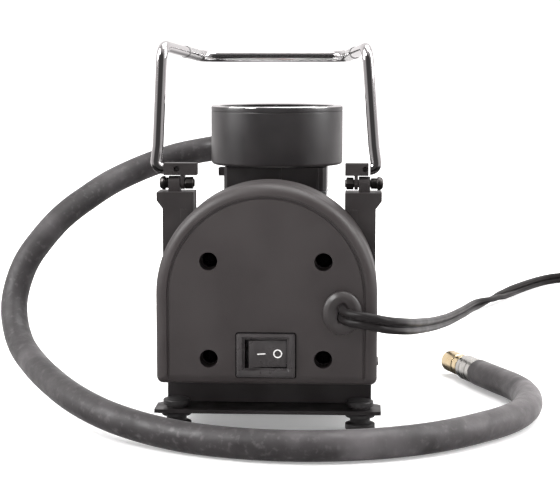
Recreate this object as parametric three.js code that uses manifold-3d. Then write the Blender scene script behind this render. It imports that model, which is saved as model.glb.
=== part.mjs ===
// A 12 V portable tyre inflator: direct-drive motor and piston pump on a sheet-metal base, with a dial
// gauge on top, a swinging wire handle, a rubber air hose with a screw-on chuck, and a twin lead with a
// lighter-socket plug. Millimetres, +Z up. The switch end faces -Y. Inside this file y counts backwards
// from the face of the end cover, x from the middle plane and z from the floor; the last group moves
// the model so that its origin is under the middle of the inflator itself.
import * as THREE from 'three';
import { mergeVertices } from 'three/addons/utils/BufferGeometryUtils.js';
import Module from 'manifold-3d';

const wasm = await Module();
wasm.setup();

// ---- driving dimensions ----
const GAP = 0.3;                       // clearance between neighbouring pieces
const COVER = { r: 46.5, z: 60.5, base: 22.5, depth: 30, wall: 2.5, rim: 4.5, corner: 3 };
const BOLT = { x: 24, zTop: 74.9, zLow: 33.75, counterbore: 3.75, counterboreDepth: 9.5 };
const AXIS_Z = 54.3;                   // motor and crankshaft axis
const PLATE = { top: 9.9, thick: 1.6, halfX: 44.3, earX: 48.4, front: 8, back: 130 };
const FOOT = { x: 39.5, front: 15, back: 123, neck: 4, flange: 6.4, low: 6.4, head: 5.9, top: 14.8 };
const STAND = { halfX: 44.3, front: 23, back: 115, top: 22, wall: 1.5 };
const POST = { shift: -0.6, inner: 33, outer: 46.4, cap: 49, shoulder: 94.5, top: 100.9, front: 31.5, back: 46.5 };
const HINGE = {
  y: 39, z: 104.5, half: 3.1,
  left: { tongueIn: 39.9, tongueOut: 44.9, cheekIn: 37.9, nut: 34.2 },
  right: { tongueIn: 38.3, tongueOut: 43.3, cheekIn: 36.4, nut: 32.9 },
};
const BAR = { inner: 32.4, outerLeft: 47, outerRight: 42.6, low: 108, high: 113.3, pinX: 41.2 };
const WIRE = {
  r: 2.45, shift: -2.4, footX: 48.6, topX: { left: 45, right: 44 }, top: { left: 164.3, right: 163.3 },
  gripX: 31.4, gripY: 105, gripZ: 159.4,
};
const SLEEVE = { bore: 2.6, r: 2.75 };
const MOTOR = { r: 26, front: 22, back: 64, wall: 1.6 };
const CRANK = { throw: 7, y: 76, rod: 23, weight: 12.5 };
const CASE = { halfX: 32, front: 66, back: 108, low: 22.3, top: 77 };
const CYL = { x: 23.4, front: 68, back: 106, low: 77.3, top: 96.7, bore: 12.6, y: 87 };
const HEAD = { low: 98.5, top: 109.2 };
const GAUGE = { r: 30.6, y: 87, low: 109.8, top: 137, wall: 2.2 };
const HOSE_R = 6.35;
const LEAD_R = 3.6;
const GROMMET = { x: 31.9, z: 53.9, halfX: 8.15, halfZ: 9.15 };
const COIL = { x: 255, y: 478, inner: 30.6, outer: 51, low: 1.2, high: 15.9 };
const PLUG = { x: 318, tail: 471.7, z: 10.8 };
const CHUCK_AT = [97.4, 110.5];        // where the hose ends, on the floor beside the base
const CHUCK_TURN = THREE.MathUtils.degToRad(23);

// ---- materials ----
const mat = (color, roughness, metalness) => new THREE.MeshStandardMaterial({ color, roughness, metalness });
const COVER_PLASTIC = mat(0x4b4848, 0.6, 0);
const BLACK_PLASTIC = mat(0x262425, 0.55, 0);
const GLOSS_BLACK = mat(0x1c1b1c, 0.3, 0);
const BLACK_PAINT = mat(0x2a2829, 0.5, 0.2);
const RUBBER = mat(0x2d2c2d, 0.8, 0);
const HOSE_RUBBER = mat(0x454244, 0.85, 0);
const CABLE_PVC = mat(0x343233, 0.45, 0);
const CHROME = mat(0xd8d8da, 0.12, 1);
const ZINC = mat(0xb8b8b6, 0.35, 1);
const STEEL = mat(0x9a9a9c, 0.4, 1);
const BRASS = mat(0xcaa86a, 0.3, 1);
const ALUMINIUM = mat(0xa9aaab, 0.45, 1);
const COPPER = mat(0xb06a3c, 0.4, 1);
const FERRITE = mat(0x3a3938, 0.8, 0);
const WHITE_PAINT = mat(0xf1f1ee, 0.6, 0);
const RED_PAINT = mat(0xb02a20, 0.5, 0);
const LENS = mat(0xe8eef0, 0.05, 0);
const PTFE = mat(0xd9d4c8, 0.6, 0);

// ---- meshes to solids and back ----
function tidy(geometry) {
  const bare = geometry.index ? geometry.clone() : geometry;
  for (const name of Object.keys(bare.attributes)) {
    if (name !== 'position') {
      bare.deleteAttribute(name);
    }
  }
  const merged = mergeVertices(bare, 1e-4);
  const position = merged.attributes.position;
  const kept = [];
  const corner = [new THREE.Vector3(), new THREE.Vector3(), new THREE.Vector3()];
  let volume = 0;
  for (let i = 0; i < merged.index.count; i += 3) {
    const ids = [0, 1, 2].map((k) => merged.index.getX(i + k));
    if (ids[0] === ids[1] || ids[1] === ids[2] || ids[2] === ids[0]) {
      continue;
    }
    ids.forEach((id, k) => corner[k].fromBufferAttribute(position, id));
    volume += corner[0].dot(corner[1].clone().cross(corner[2]));
    kept.push(ids);
  }
  const facing = volume < 0 ? kept.map(([a, b, c]) => [a, c, b]) : kept;
  merged.setIndex(facing.flat());
  return merged;
}

function solid(geometry) {
  const closed = tidy(geometry);
  const mesh = new wasm.Mesh({
    numProp: 3,
    vertProperties: new Float32Array(closed.attributes.position.array),
    triVerts: new Uint32Array(closed.index.array),
  });
  return new wasm.Manifold(mesh);
}

function surface(body) {
  const mesh = body.getMesh();
  const geometry = new THREE.BufferGeometry();
  geometry.setAttribute('position', new THREE.BufferAttribute(new Float32Array(mesh.vertProperties), 3));
  geometry.setIndex(new THREE.BufferAttribute(new Uint32Array(mesh.triVerts), 1));
  return geometry;
}

const cut = (first, ...others) => surface(others.reduce((body, g) => body.subtract(solid(g)), solid(first)));
const join = (first, ...others) => surface(others.reduce((body, g) => body.add(solid(g)), solid(first)));

// ---- simple shapes ----
const QUARTER = Math.PI / 2;

function box(x0, x1, y0, y1, z0, z1) {
  const g = new THREE.BoxGeometry(x1 - x0, y1 - y0, z1 - z0);
  return g.translate((x0 + x1) / 2, (y0 + y1) / 2, (z0 + z1) / 2);
}

const acrossX = (x0, x1) => [Math.min(x0, x1), Math.max(x0, x1)];

// A turned piece: profile is [radius, height] pairs, and its axis is X, Y or Z through (x, y, z).
function turned(profile, axis, [x, y, z], segments = 20) {
  const g = new THREE.LatheGeometry(profile.map(([r, h]) => new THREE.Vector2(r, h)), segments);
  g.rotateX(QUARTER);
  if (axis === 'X') {
    g.rotateY(QUARTER);
  } else if (axis === 'Y') {
    g.rotateX(-QUARTER);
  }
  return g.translate(x, y, z);
}

const rod = (r, h0, h1, axis, at, segments) =>
  turned([[0, h0], [r, h0], [r, h1], [0, h1]], axis, at, segments);

const tube = (rIn, rOut, h0, h1, axis, at, segments) =>
  turned([[rIn, h0], [rOut, h0], [rOut, h1], [rIn, h1], [rIn, h0]], axis, at, segments);

function arc(cx, cz, r, from, to, steps) {
  const points = [];
  for (let i = 0; i <= steps; i++) {
    const a = THREE.MathUtils.degToRad(from + ((to - from) * i) / steps);
    points.push([cx + r * Math.cos(a), cz + r * Math.sin(a)]);
  }
  return points;
}

const outline = (points) => new THREE.Shape(points.map(([a, b]) => new THREE.Vector2(a, b)));

// A plate whose outline is drawn in X and Z, from y0 back to y1.
function slab(points, y0, y1, bevel = 0, bevelSteps = 3) {
  const g = new THREE.ExtrudeGeometry(outline(points), {
    depth: y1 - y0 - 2 * bevel,
    bevelEnabled: bevel > 0,
    bevelThickness: bevel,
    bevelSize: bevel,
    bevelOffset: -bevel,
    bevelSegments: bevelSteps,
  });
  return g.translate(0, 0, bevel).rotateX(QUARTER).translate(0, y1, 0);
}

// A plate whose outline is drawn in X and Y, from z0 up to z1.
function layer(points, z0, z1) {
  const g = new THREE.ExtrudeGeometry(outline(points), { depth: z1 - z0, bevelEnabled: false });
  return g.translate(0, 0, z0);
}

// A body through matching outlines, each drawn in X and Z at its own y, closed flat at both ends.
function loft(rings) {
  const count = rings[0].points.length;
  const vertices = rings.flatMap(({ points, y }) => points.flatMap(([x, z]) => [x, y, z]));
  const faces = [];
  const lids = THREE.ShapeUtils.triangulateShape(rings[0].points.map(([x, z]) => new THREE.Vector2(x, z)), []);
  const lastRing = (rings.length - 1) * count;
  lids.forEach(([a, b, c]) => faces.push(a, b, c, lastRing + a, lastRing + c, lastRing + b));
  for (let k = 0; k < rings.length - 1; k++) {
    for (let i = 0; i < count; i++) {
      const a = k * count + i;
      const b = k * count + ((i + 1) % count);
      faces.push(a, a + count, b, b, a + count, b + count);
    }
  }
  const g = new THREE.BufferGeometry();
  g.setAttribute('position', new THREE.Float32BufferAttribute(vertices, 3));
  g.setIndex(faces);
  return g;
}

// A route that is straight between its own points, so that a tube gets one ring at each of them.
class Route extends THREE.Curve {
  constructor(points) {
    super();
    this.points = points;
  }

  getUtoTmapping(u) {
    return u;
  }

  getPoint(t) {
    const last = this.points.length - 1;
    const at = Math.min(Math.max(t, 0), 1) * last;
    const k = Math.min(Math.floor(at), last - 1);
    return this.points[k].clone().lerp(this.points[k + 1], at - k);
  }
}

function pipe(points, r, sides, rIn = 0) {
  const route = new Route(points);
  const ring = (radius) => outline(arc(0, 0, radius, 0, 360 - 360 / sides, sides - 1));
  const section = ring(r);
  if (rIn > 0) {
    section.holes.push(ring(rIn));
  }
  const settings = { steps: points.length - 1, extrudePath: route, bevelEnabled: false };
  return new THREE.ExtrudeGeometry(section, settings);
}

// The points of a bent wire: straight runs between corners, each corner rounded by its own radius.
function bentWire(corners) {
  const points = [corners[0].at.clone()];
  for (let i = 1; i < corners.length - 1; i++) {
    const { at, radius } = corners[i];
    const back = corners[i - 1].at.clone().sub(at).normalize();
    const ahead = corners[i + 1].at.clone().sub(at).normalize();
    const half = back.angleTo(ahead) / 2;
    const start = at.clone().addScaledVector(back, radius / Math.tan(half));
    const middle = back.clone().add(ahead).normalize();
    const centre = at.clone().addScaledVector(middle, radius / Math.sin(half));
    const turn = Math.PI - 2 * half;
    const axis = ahead.clone().cross(back).normalize();
    const steps = Math.max(2, Math.ceil(turn / 0.33));
    for (let k = 0; k <= steps; k++) {
      const spoke = start.clone().sub(centre).applyAxisAngle(axis, (turn * k) / steps);
      points.push(centre.clone().add(spoke));
    }
  }
  points.push(corners[corners.length - 1].at.clone());
  return points;
}

function smooth(route, spacing) {
  const curve = new THREE.CatmullRomCurve3(route.map((p) => new THREE.Vector3(...p)));
  return curve.getSpacedPoints(Math.round(curve.getLength() / spacing));
}

// ---- the assembly ----
const inflator = new THREE.Group();

function part(name, geometry, material, parent = inflator) {
  const mesh = new THREE.Mesh(tidy(geometry), material);
  mesh.name = name;
  parent.add(mesh);
  return mesh;
}

const sides = [
  { word: 'left', s: -1 },
  { word: 'right', s: 1 },
];

// ---- base: plate with ears, stand and rubber feet ----
const feet = sides.flatMap(({ word, s }) => [
  { name: `foot_front_${word}`, x: s * FOOT.x, y: FOOT.front },
  { name: `foot_back_${word}`, x: s * FOOT.x, y: FOOT.back },
]);

function basePlate() {
  const { top, thick, halfX, earX, front, back } = PLATE;
  const low = top - thick;
  const ear = 8.5;
  const body = box(-halfX, halfX, front, back, low, top);
  const ears = [FOOT.front, FOOT.back].map((y) => {
    const c = 2;
    const at = [
      [-earX, y - ear + c], [-earX + c, y - ear], [earX - c, y - ear], [earX, y - ear + c],
      [earX, y + ear - c], [earX - c, y + ear], [-earX + c, y + ear], [-earX, y + ear - c],
    ];
    return layer(at.map(([x, v]) => [x, Math.min(Math.max(v, front), back)]), low, top);
  });
  const holes = feet.map(({ x, y }) => rod(FOOT.neck + GAP, low - 1, top + 1, 'Z', [x, y, 0], 20));
  return cut(join(body, ...ears), ...holes);
}

function stand() {
  const { halfX, front, back, top, wall } = STAND;
  const low = PLATE.top + GAP;
  const outer = box(-halfX, halfX, front, back, low, top);
  const inner = box(-halfX + wall, halfX - wall, front + wall, back - wall, low - 1, top - wall);
  return cut(outer, inner);
}

function foot({ x, y }) {
  const { neck, flange, low, head, top } = FOOT;
  const under = PLATE.top - PLATE.thick - GAP;
  const over = PLATE.top + GAP;
  const profile = [
    [0, 0], [5.4, 0], [flange, 1.3], [flange, 3.3], [5.2, 3.9], [4.3, 4], [4.3, low],
    [flange, low + 0.1], [flange, under], [neck, under], [neck, over], [5.2, over], [5.2, 11.2],
    [head, 11.5], [head, 12.8], [4.9, 14.2], [3.2, top], [0, top],
  ];
  return turned(profile, 'Z', [x, y, 0], 18);
}

part('base_plate', basePlate(), BLACK_PAINT);
part('base_stand', stand(), BLACK_PAINT);
feet.forEach((f) => part(f.name, foot(f), RUBBER));

// ---- end cover: D-shaped shell with screw wells, switch opening and cable hole ----
function dOutline(inset, drop = 0) {
  const { r, z, base, corner } = COVER;
  const half = r - inset;
  const low = base + inset - drop;
  const c = Math.max(corner - inset, 0.6);
  return [
    ...arc(-half + c, low + c, c, 180, 270, 3),
    ...arc(half - c, low + c, c, 270, 360, 3),
    ...arc(0, z, half, 0, 180, 30),
  ];
}

const coverScrews = sides.flatMap(({ word, s }) => [
  { name: `cover_screw_top_${word}`, x: s * BOLT.x, z: BOLT.zTop },
  { name: `cover_screw_low_${word}`, x: s * BOLT.x, z: BOLT.zLow },
]);

const oval = (halfX, halfZ, steps = 22) =>
  arc(0, 0, 1, 0, 360 - 360 / steps, steps - 1).map(([a, b]) => [
    GROMMET.x + halfX * a,
    GROMMET.z + halfZ * b,
  ]);

function endCover() {
  const { depth, wall, rim } = COVER;
  const edge = [0, 20, 40, 60, 80].map((a) => {
    const turn = THREE.MathUtils.degToRad(a);
    return { points: dOutline(rim * (1 - Math.sin(turn))), y: rim * (1 - Math.cos(turn)) };
  });
  const outer = loft([...edge, { points: dOutline(0), y: rim }, { points: dOutline(0), y: depth }]);
  const hollow = cut(outer, slab(dOutline(wall), wall, depth + 5));
  const wells = coverScrews.map(({ x, z }) => rod(5.5, 1, 12, 'Y', [x, 0, z], 18));
  const groove = cut(slab(dOutline(4.85, 12), -1, 0.8), slab(dOutline(5.95, 14), -2, 2));
  const bores = coverScrews.flatMap(({ x, z }) => [
    rod(BOLT.counterbore, -1, BOLT.counterboreDepth, 'Y', [x, 0, z], 18),
    rod(2.3, -1, 13, 'Y', [x, 0, z], 16),
  ]);
  const switchHole = box(-10.9, 10.9, -1, 5, 28, 44.2);
  const cableHole = slab(oval(6.3, 7.3), -1, 5);
  return cut(join(hollow, ...wells), groove, switchHole, cableHole, ...bores);
}

// Cross-recess screw lying in its well, with its shank running back into the pump casting.
function coverScrew({ x, z }) {
  const head = BOLT.counterboreDepth;
  const profile = [
    [0, head - 3.2], [2.4, head - 3.1], [3.3, head - 2], [3.3, head - GAP], [2, head - GAP],
    [2, 71], [1.4, 72], [0, 72],
  ];
  const screw = turned(profile, 'Y', [x, 0, z], 16);
  const slot = (a, b) => box(x - a, x + a, head - 4, head - 2, z - b, z + b);
  return cut(screw, slot(0.45, 1.9), slot(1.9, 0.45));
}

part('end_cover', endCover(), COVER_PLASTIC);
coverScrews.forEach((c) => part(c.name, coverScrew(c), STEEL));

// ---- rocker switch ----
const SWITCH = { halfX: 12.3, low: 26.2, high: 44.7, z: 35.8, openX: 8.85, openLow: 30, openHigh: 42.2 };
const ROCKER = { pivotY: 4, tilt: THREE.MathUtils.degToRad(9) };

function switchHousing() {
  const { halfX, low, high, openX, openLow, openHigh } = SWITCH;
  const c = 0.8;
  const face = [
    [-halfX + c, low], [halfX - c, low], [halfX, low + c], [halfX, high - c],
    [halfX - c, high], [-halfX + c, high], [-halfX, high - c], [-halfX, low + c],
  ];
  const bezel = slab(face, -1.8, -0.2, 0.6, 2);
  const body = box(-10.6, 10.6, -0.8, 14, 28.3, 43.9);
  const pocket = box(-openX, openX, -3, 11, openLow, openHigh);
  const bearing = rod(1.5, 28.8, 43.4, 'Z', [0, ROCKER.pivotY, 0], 16);
  return cut(join(bezel, body), pocket, bearing);
}

// The rocker about its own pivot: the face is hollow, so both ends stand up to be pushed.
function rocker() {
  const half = 7.9;
  const top = -5.6;
  const profile = [
    [-half, top], [-half / 2, top + 1.2], [0, top + 1.6], [half / 2, top + 1.2], [half, top],
    [half - 0.2, -2], [3.2, 2.5], [-3.2, 2.5], [-half + 0.2, -2],
  ];
  const paddle = layer(profile, SWITCH.openLow + 0.35, SWITCH.openHigh - 0.35);
  return join(paddle, rod(1.2, 29.1, 43.1, 'Z', [0, 0, 0], 16));
}

part('switch_housing', switchHousing(), GLOSS_BLACK);
const rockerMount = new THREE.Group();
rockerMount.position.set(0, ROCKER.pivotY, 0);
rockerMount.rotation.z = ROCKER.tilt;
inflator.add(rockerMount);
part('rocker', rocker(), GLOSS_BLACK, rockerMount);

// ---- cable grommet ----
function cableGrommet() {
  const front = slab(oval(GROMMET.halfX, GROMMET.halfZ), -3.4, -0.2, 1.4, 3);
  const neck = slab(oval(5.9, 6.9), -1.5, 3);
  const back = slab(oval(7.1, 8.1), COVER.wall + GAP, 4.6);
  const hole = slab(oval(2.4, 4.2), -5, 6);
  return cut(join(front, neck, back), hole);
}

part('cable_grommet', cableGrommet(), GLOSS_BLACK);

// ---- motor ----
const onAxis = [0, 0, AXIS_Z];
const SHAFT_R = 2.5;

function motorCan() {
  const { r, front, back, wall } = MOTOR;
  const seat = SHAFT_R + 0.1;
  return turned([
    [seat, front], [r - 2, front], [r, front + 2], [r, back], [r - wall, back],
    [r - wall, front + wall], [6.5, front + wall], [6.5, front + 5], [seat, front + 5], [seat, front],
  ], 'Y', onAxis, 30);
}

function magnet(s) {
  const inner = 19.5;
  const outer = MOTOR.r - MOTOR.wall - GAP;
  const points = [
    ...arc(0, AXIS_Z, outer, s > 0 ? -62 : 118, s > 0 ? 62 : 242, 14),
    ...arc(0, AXIS_Z, inner, s > 0 ? 62 : 242, s > 0 ? -62 : 118, 14),
  ];
  return slab(points, 30, 57);
}

function armature() {
  const profile = [
    [0, 24], [SHAFT_R, 24], [SHAFT_R, 28.5], [7, 28.5], [7, 34.5], [13, 34.5], [13, 36], [18.9, 36],
    [18.9, 54], [13, 54], [13, 56], [3.2, 56], [SHAFT_R, 57], [SHAFT_R, 75.5], [0, 75.5],
  ];
  const slots = [0, 60, 120, 180, 240, 300].map((a) => {
    const slot = box(-1, 1, 35.8, 54.2, 10, 20);
    return slot.rotateY(THREE.MathUtils.degToRad(a)).translate(0, 0, AXIS_Z);
  });
  return cut(turned(profile, 'Y', onAxis, 30), ...slots);
}

function motorPlate() {
  const face = rod(MOTOR.r, MOTOR.back + GAP, CASE.front - GAP, 'Y', onAxis, 30);
  const boss = rod(8.2, 59.5, MOTOR.back + 1, 'Y', onAxis, 24);
  return cut(join(face, boss), rod(5.6, 58, 67, 'Y', onAxis, 20));
}

const motorBearing = () => tube(SHAFT_R + 0.1, 5.3, 60, 65, 'Y', onAxis, 30);

part('motor_can', motorCan(), ZINC);
part('magnet_left', magnet(-1), FERRITE);
part('magnet_right', magnet(1), FERRITE);
part('armature', armature(), COPPER);
part('motor_plate', motorPlate(), ZINC);
part('motor_bearing', motorBearing(), STEEL);

// ---- pump: crankcase, crank, rod, piston, cylinder, valve plate and head ----
function crankcase() {
  const { halfX, front, back, low, top } = CASE;
  const c = 9;
  const shape = [
    [-halfX, low], [halfX, low], [halfX, top - c], [halfX - c, top], [-halfX + c, top], [-halfX, top - c],
  ];
  const room = [
    ...arc(0, AXIS_Z, 19, 200, 340, 12),
    [19, AXIS_Z + 10], [14.5, top + 2], [-14.5, top + 2], [-19, AXIS_Z + 10],
  ];
  const body = slab(shape, front, back);
  const seat = rod(3.1, front - 1, front + 4, 'Y', onAxis, 24);
  const screws = coverScrews.map(({ x, z }) => rod(2.3, front - 1, 73, 'Y', [x, 0, z], 16));
  return cut(body, slab(room, front + 3, back + 1), seat, ...screws);
}

const caseCover = () => {
  const { halfX, back, low, top } = CASE;
  const c = 9;
  const edge = [
    [-halfX, low], [halfX, low], [halfX, top - c], [halfX - c, top - 1], [-halfX + c, top - 1],
    [-halfX, top - c],
  ];
  return slab(edge, back + GAP, back + 3.3, 0.8, 2);
};

function crankDisc() {
  const pinZ = AXIS_Z + CRANK.throw;
  const hub = rod(6, CRANK.y, CRANK.y + 5, 'Y', onAxis, 24);
  const weight = slab([
    ...arc(0, AXIS_Z, CRANK.weight, 195, 345, 12), [6, AXIS_Z + 2], [5, pinZ + 3.5], [-5, pinZ + 3.5], [-6, AXIS_Z + 2],
  ], CRANK.y, CRANK.y + 5);
  const pin = rod(2.5, CRANK.y + 4, CRANK.y + 7.5, 'Y', [0, 0, pinZ], 20);
  return join(hub, weight, pin);
}

const PIN_Z = AXIS_Z + CRANK.throw;    // crank pin at the top of its turn
const WRIST_Z = PIN_Z + CRANK.rod;

function connectingRod() {
  const y0 = CRANK.y + 7.8;
  const y1 = y0 + 6;
  const big = rod(5.2, y0, y1, 'Y', [0, 0, PIN_Z], 24);
  const small = rod(4.2, y0, y1, 'Y', [0, 0, WRIST_Z], 20);
  const beam = box(-2, 2, y0 + 1.5, y1 - 1.5, PIN_Z + 3, WRIST_Z - 2);
  return cut(join(big, beam, small), rod(1.9, y0 - 1, y1 + 1, 'Y', [0, 0, WRIST_Z], 20));
}

// The piston with its wrist pin pressed into the two yokes.
function piston() {
  const r = CYL.bore - 0.25;
  const y = CYL.y;
  const profile = [
    [0, 90.5], [r - 2.5, 90.5], [r - 2.5, 84], [r - 0.6, 84], [r - 0.6, 92], [r - 1.6, 92],
    [r - 1.6, 94], [r - 0.6, 94], [r - 0.6, 95.6], [0, 95.6],
  ];
  const skirt = turned(profile, 'Z', [0, y, 0], 30);
  const yokes = [y - 7.5, y + 5].map((v) => box(-3.2, 3.2, v, v + 2.5, WRIST_Z - 2.8, 91));
  return join(skirt, ...yokes, rod(1.8, y - 7, y + 7, 'Y', [0, 0, WRIST_Z], 20));
}

const pistonRing = () =>
  tube(CYL.bore - 1.6, CYL.bore - 0.1, 92.2, 93.8, 'Z', [0, CYL.y, 0], 30);

function cylinder() {
  const { x, front, back, low, top, bore, y } = CYL;
  const core = box(-x + 2.5, x - 2.5, front + 2.5, back - 2.5, low, top);
  const fins = [low, low + 4.4, low + 8.8, low + 13.2, top - 1.6].map((z) =>
    box(-x, x, front, back, z, z + 1.6));
  return cut(join(core, ...fins), rod(bore, low - 1, top + 1, 'Z', [0, y, 0], 30));
}

function valvePlate() {
  const { x, front, back, top, y } = CYL;
  const plate = box(-x, x, front, back, top + GAP, HEAD.low - GAP);
  const ports = [-4, 4].map((px) => rod(1.5, top - 1, HEAD.low + 1, 'Z', [px, y, 0], 16));
  return cut(plate, ...ports);
}

function cylinderHead() {
  const { x, front, back } = CYL;
  const c = 1.5;
  const block = layer([
    [-x + c, front], [x - c, front], [x, front + c], [x, back - c], [x - c, back], [-x + c, back],
    [-x, back - c], [-x, front + c],
  ], HEAD.low, HEAD.top);
  const lug = box(-26, -x + 1, front + 2, front + 10, 105.2, 108.8);
  const chamber = rod(9, HEAD.low - 1, HEAD.low + 5, 'Z', [0, CYL.y, 0], 24);
  const gaugePort = rod(3.6, HEAD.low + 3, HEAD.top + 1, 'Z', [0, CYL.y, 0], 20);
  const hosePort = rod(3.2, CYL.y, back + 1, 'Y', [12, 0, 103.8], 20);
  return cut(join(block, lug), chamber, gaugePort, hosePort);
}

part('crankcase', crankcase(), BLACK_PAINT);
part('crankcase_cover', caseCover(), BLACK_PAINT);
part('crank_disc', cut(crankDisc(), rod(SHAFT_R + 0.05, 70, CRANK.y + 3, 'Y', onAxis, 30)), STEEL);
part('connecting_rod', connectingRod(), ALUMINIUM);
part('piston', piston(), ALUMINIUM);
part('piston_ring', pistonRing(), PTFE);
part('cylinder', cylinder(), BLACK_PAINT);
part('valve_plate', valvePlate(), STEEL);
part('cylinder_head', cylinderHead(), BLACK_PAINT);

// ---- gauge ----
const gaugeAt = [0, GAUGE.y, 0];

function gaugeCase() {
  const { r, low, top, wall } = GAUGE;
  return turned([
    [3.4, low], [r - 2.2, low], [r - 0.6, low + 0.7], [r, low + 2.4], [r, top - 2.6], [r - wall, top - 2.6],
    [r - wall, low + wall], [3.4, low + wall], [3.4, low],
  ], 'Z', gaugeAt, 36);
}

function gaugeRim() {
  const { r, top } = GAUGE;
  return turned([
    [r - 0.9, top - 2.3], [r, top - 2.3], [r, top - 0.7], [r - 0.6, top], [r - 3.4, top],
    [r - 3.4, top - 1], [r - 0.9, top - 1.3], [r - 0.9, top - 2.3],
  ], 'Z', gaugeAt, 36);
}

const gaugeLens = () => rod(GAUGE.r - GAUGE.wall - GAP, GAUGE.top - 3.1, GAUGE.top - 1.5, 'Z', gaugeAt, 32);
const gaugeDial = () => rod(GAUGE.r - GAUGE.wall - GAP, GAUGE.top - 8.4, GAUGE.top - 7.6, 'Z', gaugeAt, 32);

function gaugeNeedle() {
  const z0 = GAUGE.top - 6.4;
  const hub = rod(2.4, z0, z0 + 1, 'Z', gaugeAt, 20);
  const spindle = rod(0.9, GAUGE.top - 11, z0 + 0.5, 'Z', gaugeAt, 16);
  const pointer = layer([[-1, 0], [1, 0], [0.35, 21.5], [-0.35, 21.5]], z0 + 0.1, z0 + 0.9);
  const tail = layer([[-1.4, -7], [1.4, -7], [1, 0.5], [-1, 0.5]], z0 + 0.1, z0 + 0.9);
  const start = THREE.MathUtils.degToRad(135);
  return join(hub, spindle, join(pointer, tail).rotateZ(start).translate(...gaugeAt));
}

const dialWithHole = () => cut(gaugeDial(), rod(1.3, 100, 140, 'Z', gaugeAt, 16));

// The pressure socket: screws into the head and carries the movement under the dial.
function gaugeSocket() {
  return turned([
    [0, HEAD.low + 4], [3.2, HEAD.low + 4], [3.2, 112], [7, 112], [7, 114.5], [3, 114.5],
    [3, 124], [0, 124],
  ], 'Z', gaugeAt, 24);
}

part('gauge_case', gaugeCase(), BLACK_PAINT);
part('gauge_rim', gaugeRim(), GLOSS_BLACK);
part('gauge_lens', gaugeLens(), LENS);
part('gauge_dial', dialWithHole(), WHITE_PAINT);
part('gauge_needle', gaugeNeedle(), RED_PAINT);
part('gauge_socket', gaugeSocket(), BRASS);

// ---- posts, hinges and wire handle ----
function post(s, word) {
  const { shift, inner, outer, cap, shoulder, top, front, back } = POST;
  const face = [
    [inner, STAND.top + GAP], [outer, STAND.top + GAP], [outer, shoulder - 0.6], [cap - 0.6, shoulder + 2],
    [cap, shoulder + 3], [cap, top], [inner, top],
  ].map(([x, z]) => [s * x + shift, z]);
  const { y, z, half } = HINGE;
  const { tongueIn, tongueOut } = HINGE[word];
  const tongue = [
    [y - half, top - 4], [y + half, top - 4],
    ...arc(y, z, half, 0, 180, 8),
  ];
  const ear = new THREE.ExtrudeGeometry(outline(tongue), { depth: tongueOut - tongueIn, bevelEnabled: false });
  ear.rotateX(QUARTER).rotateZ(QUARTER);
  ear.translate(s > 0 ? tongueIn : -tongueOut, 0, 0);
  const rear = box(...acrossX(s * (inner + 2) + shift, s * (outer - 2) + shift), front + 2, back + 1, 0, shoulder - 4);
  const hole = rod(2.1, -60, 60, 'X', [0, y, z], 20);
  return cut(join(slab(face, front, back), ear), rear, hole);
}

// Top block of the hinge: a bar that takes the end of the wire, and one cheek on the hinge screw.
function hingeBlock(s, word, outer) {
  const { inner, low, high, pinX } = BAR;
  const { y, z, half } = HINGE;
  const bar = box(...acrossX(s * inner, s * outer), y - half, y + half, low, high);
  const { cheekIn, tongueIn } = HINGE[word];
  const thickness = acrossX(s * cheekIn, s * (tongueIn - GAP));
  const cheek = box(...thickness, y - 2.8, y + 2.8, z, low + 1);
  const round = rod(2.8, ...thickness, 'X', [0, y, z], 20);
  const bore = rod(1.9, ...acrossX(s * (outer - 4.6), s * (outer + 2)), 'X', [0, y, (low + high) / 2], 16);
  const pinHole = rod(1.25, y - 8, y - half + 3.6, 'Y', [s * pinX, 0, (low + high) / 2 + 0.1], 16);
  const screwHole = rod(2.1, -60, 60, 'X', [0, y, z], 20);
  return cut(join(bar, cheek, round), bore, pinHole, screwHole);
}

// Hinge screw through the post's tongue: round head and spacer outside, its nut run on inside.
function hingeScrew(s, word) {
  const { y, z } = HINGE;
  const { tongueOut, nut: nutEnd, cheekIn } = HINGE[word];
  const spacer = rod(2.4, ...acrossX(s * (tongueOut + GAP), s * 46.5), 'X', [0, y, z], 20);
  const head = turned([
    [0, 0], [3, 0], [3, 1.2], [2.2, 2.4], [0, 2.8],
  ], 'X', [0, 0, 0], 20);
  if (s < 0) {
    head.rotateZ(Math.PI);
  }
  head.translate(s * 46.4, y, z);
  const shank = rod(1.7, ...acrossX(s * (nutEnd - 0.6), s * (tongueOut + 1)), 'X', [0, y, z], 20);
  const nut = rod(3, ...acrossX(s * nutEnd, s * (cheekIn - GAP)), 'X', [0, y, z], 6);
  return join(spacer, head, shank, nut);
}

const barMidZ = (BAR.low + BAR.high) / 2;

const topCorner = (s, word) =>
  new THREE.Vector3(s * WIRE.topX[word] + WIRE.shift, HINGE.y, WIRE.top[word]);

function wirePoints() {
  const { shift, footX, gripX, gripY, gripZ } = WIRE;
  const at = (x, y, z) => new THREE.Vector3(x + shift, y, z);
  const run = (s, word) => [
    { at: new THREE.Vector3(s * (s < 0 ? BAR.outerLeft + 0.2 : BAR.outerRight + 0.6), HINGE.y, barMidZ) },
    { at: at(s * footX, HINGE.y, barMidZ), radius: s < 0 ? 3.2 : 2.6 },
    { at: at(s * (footX - 1.4), HINGE.y, 121), radius: 20 },
    { at: topCorner(s, word), radius: 6 },
    { at: at(s * (gripX + 3), gripY, gripZ), radius: 9 },
  ];
  return bentWire([...run(-1, 'left'), ...run(1, 'right').reverse()]);
}

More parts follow.
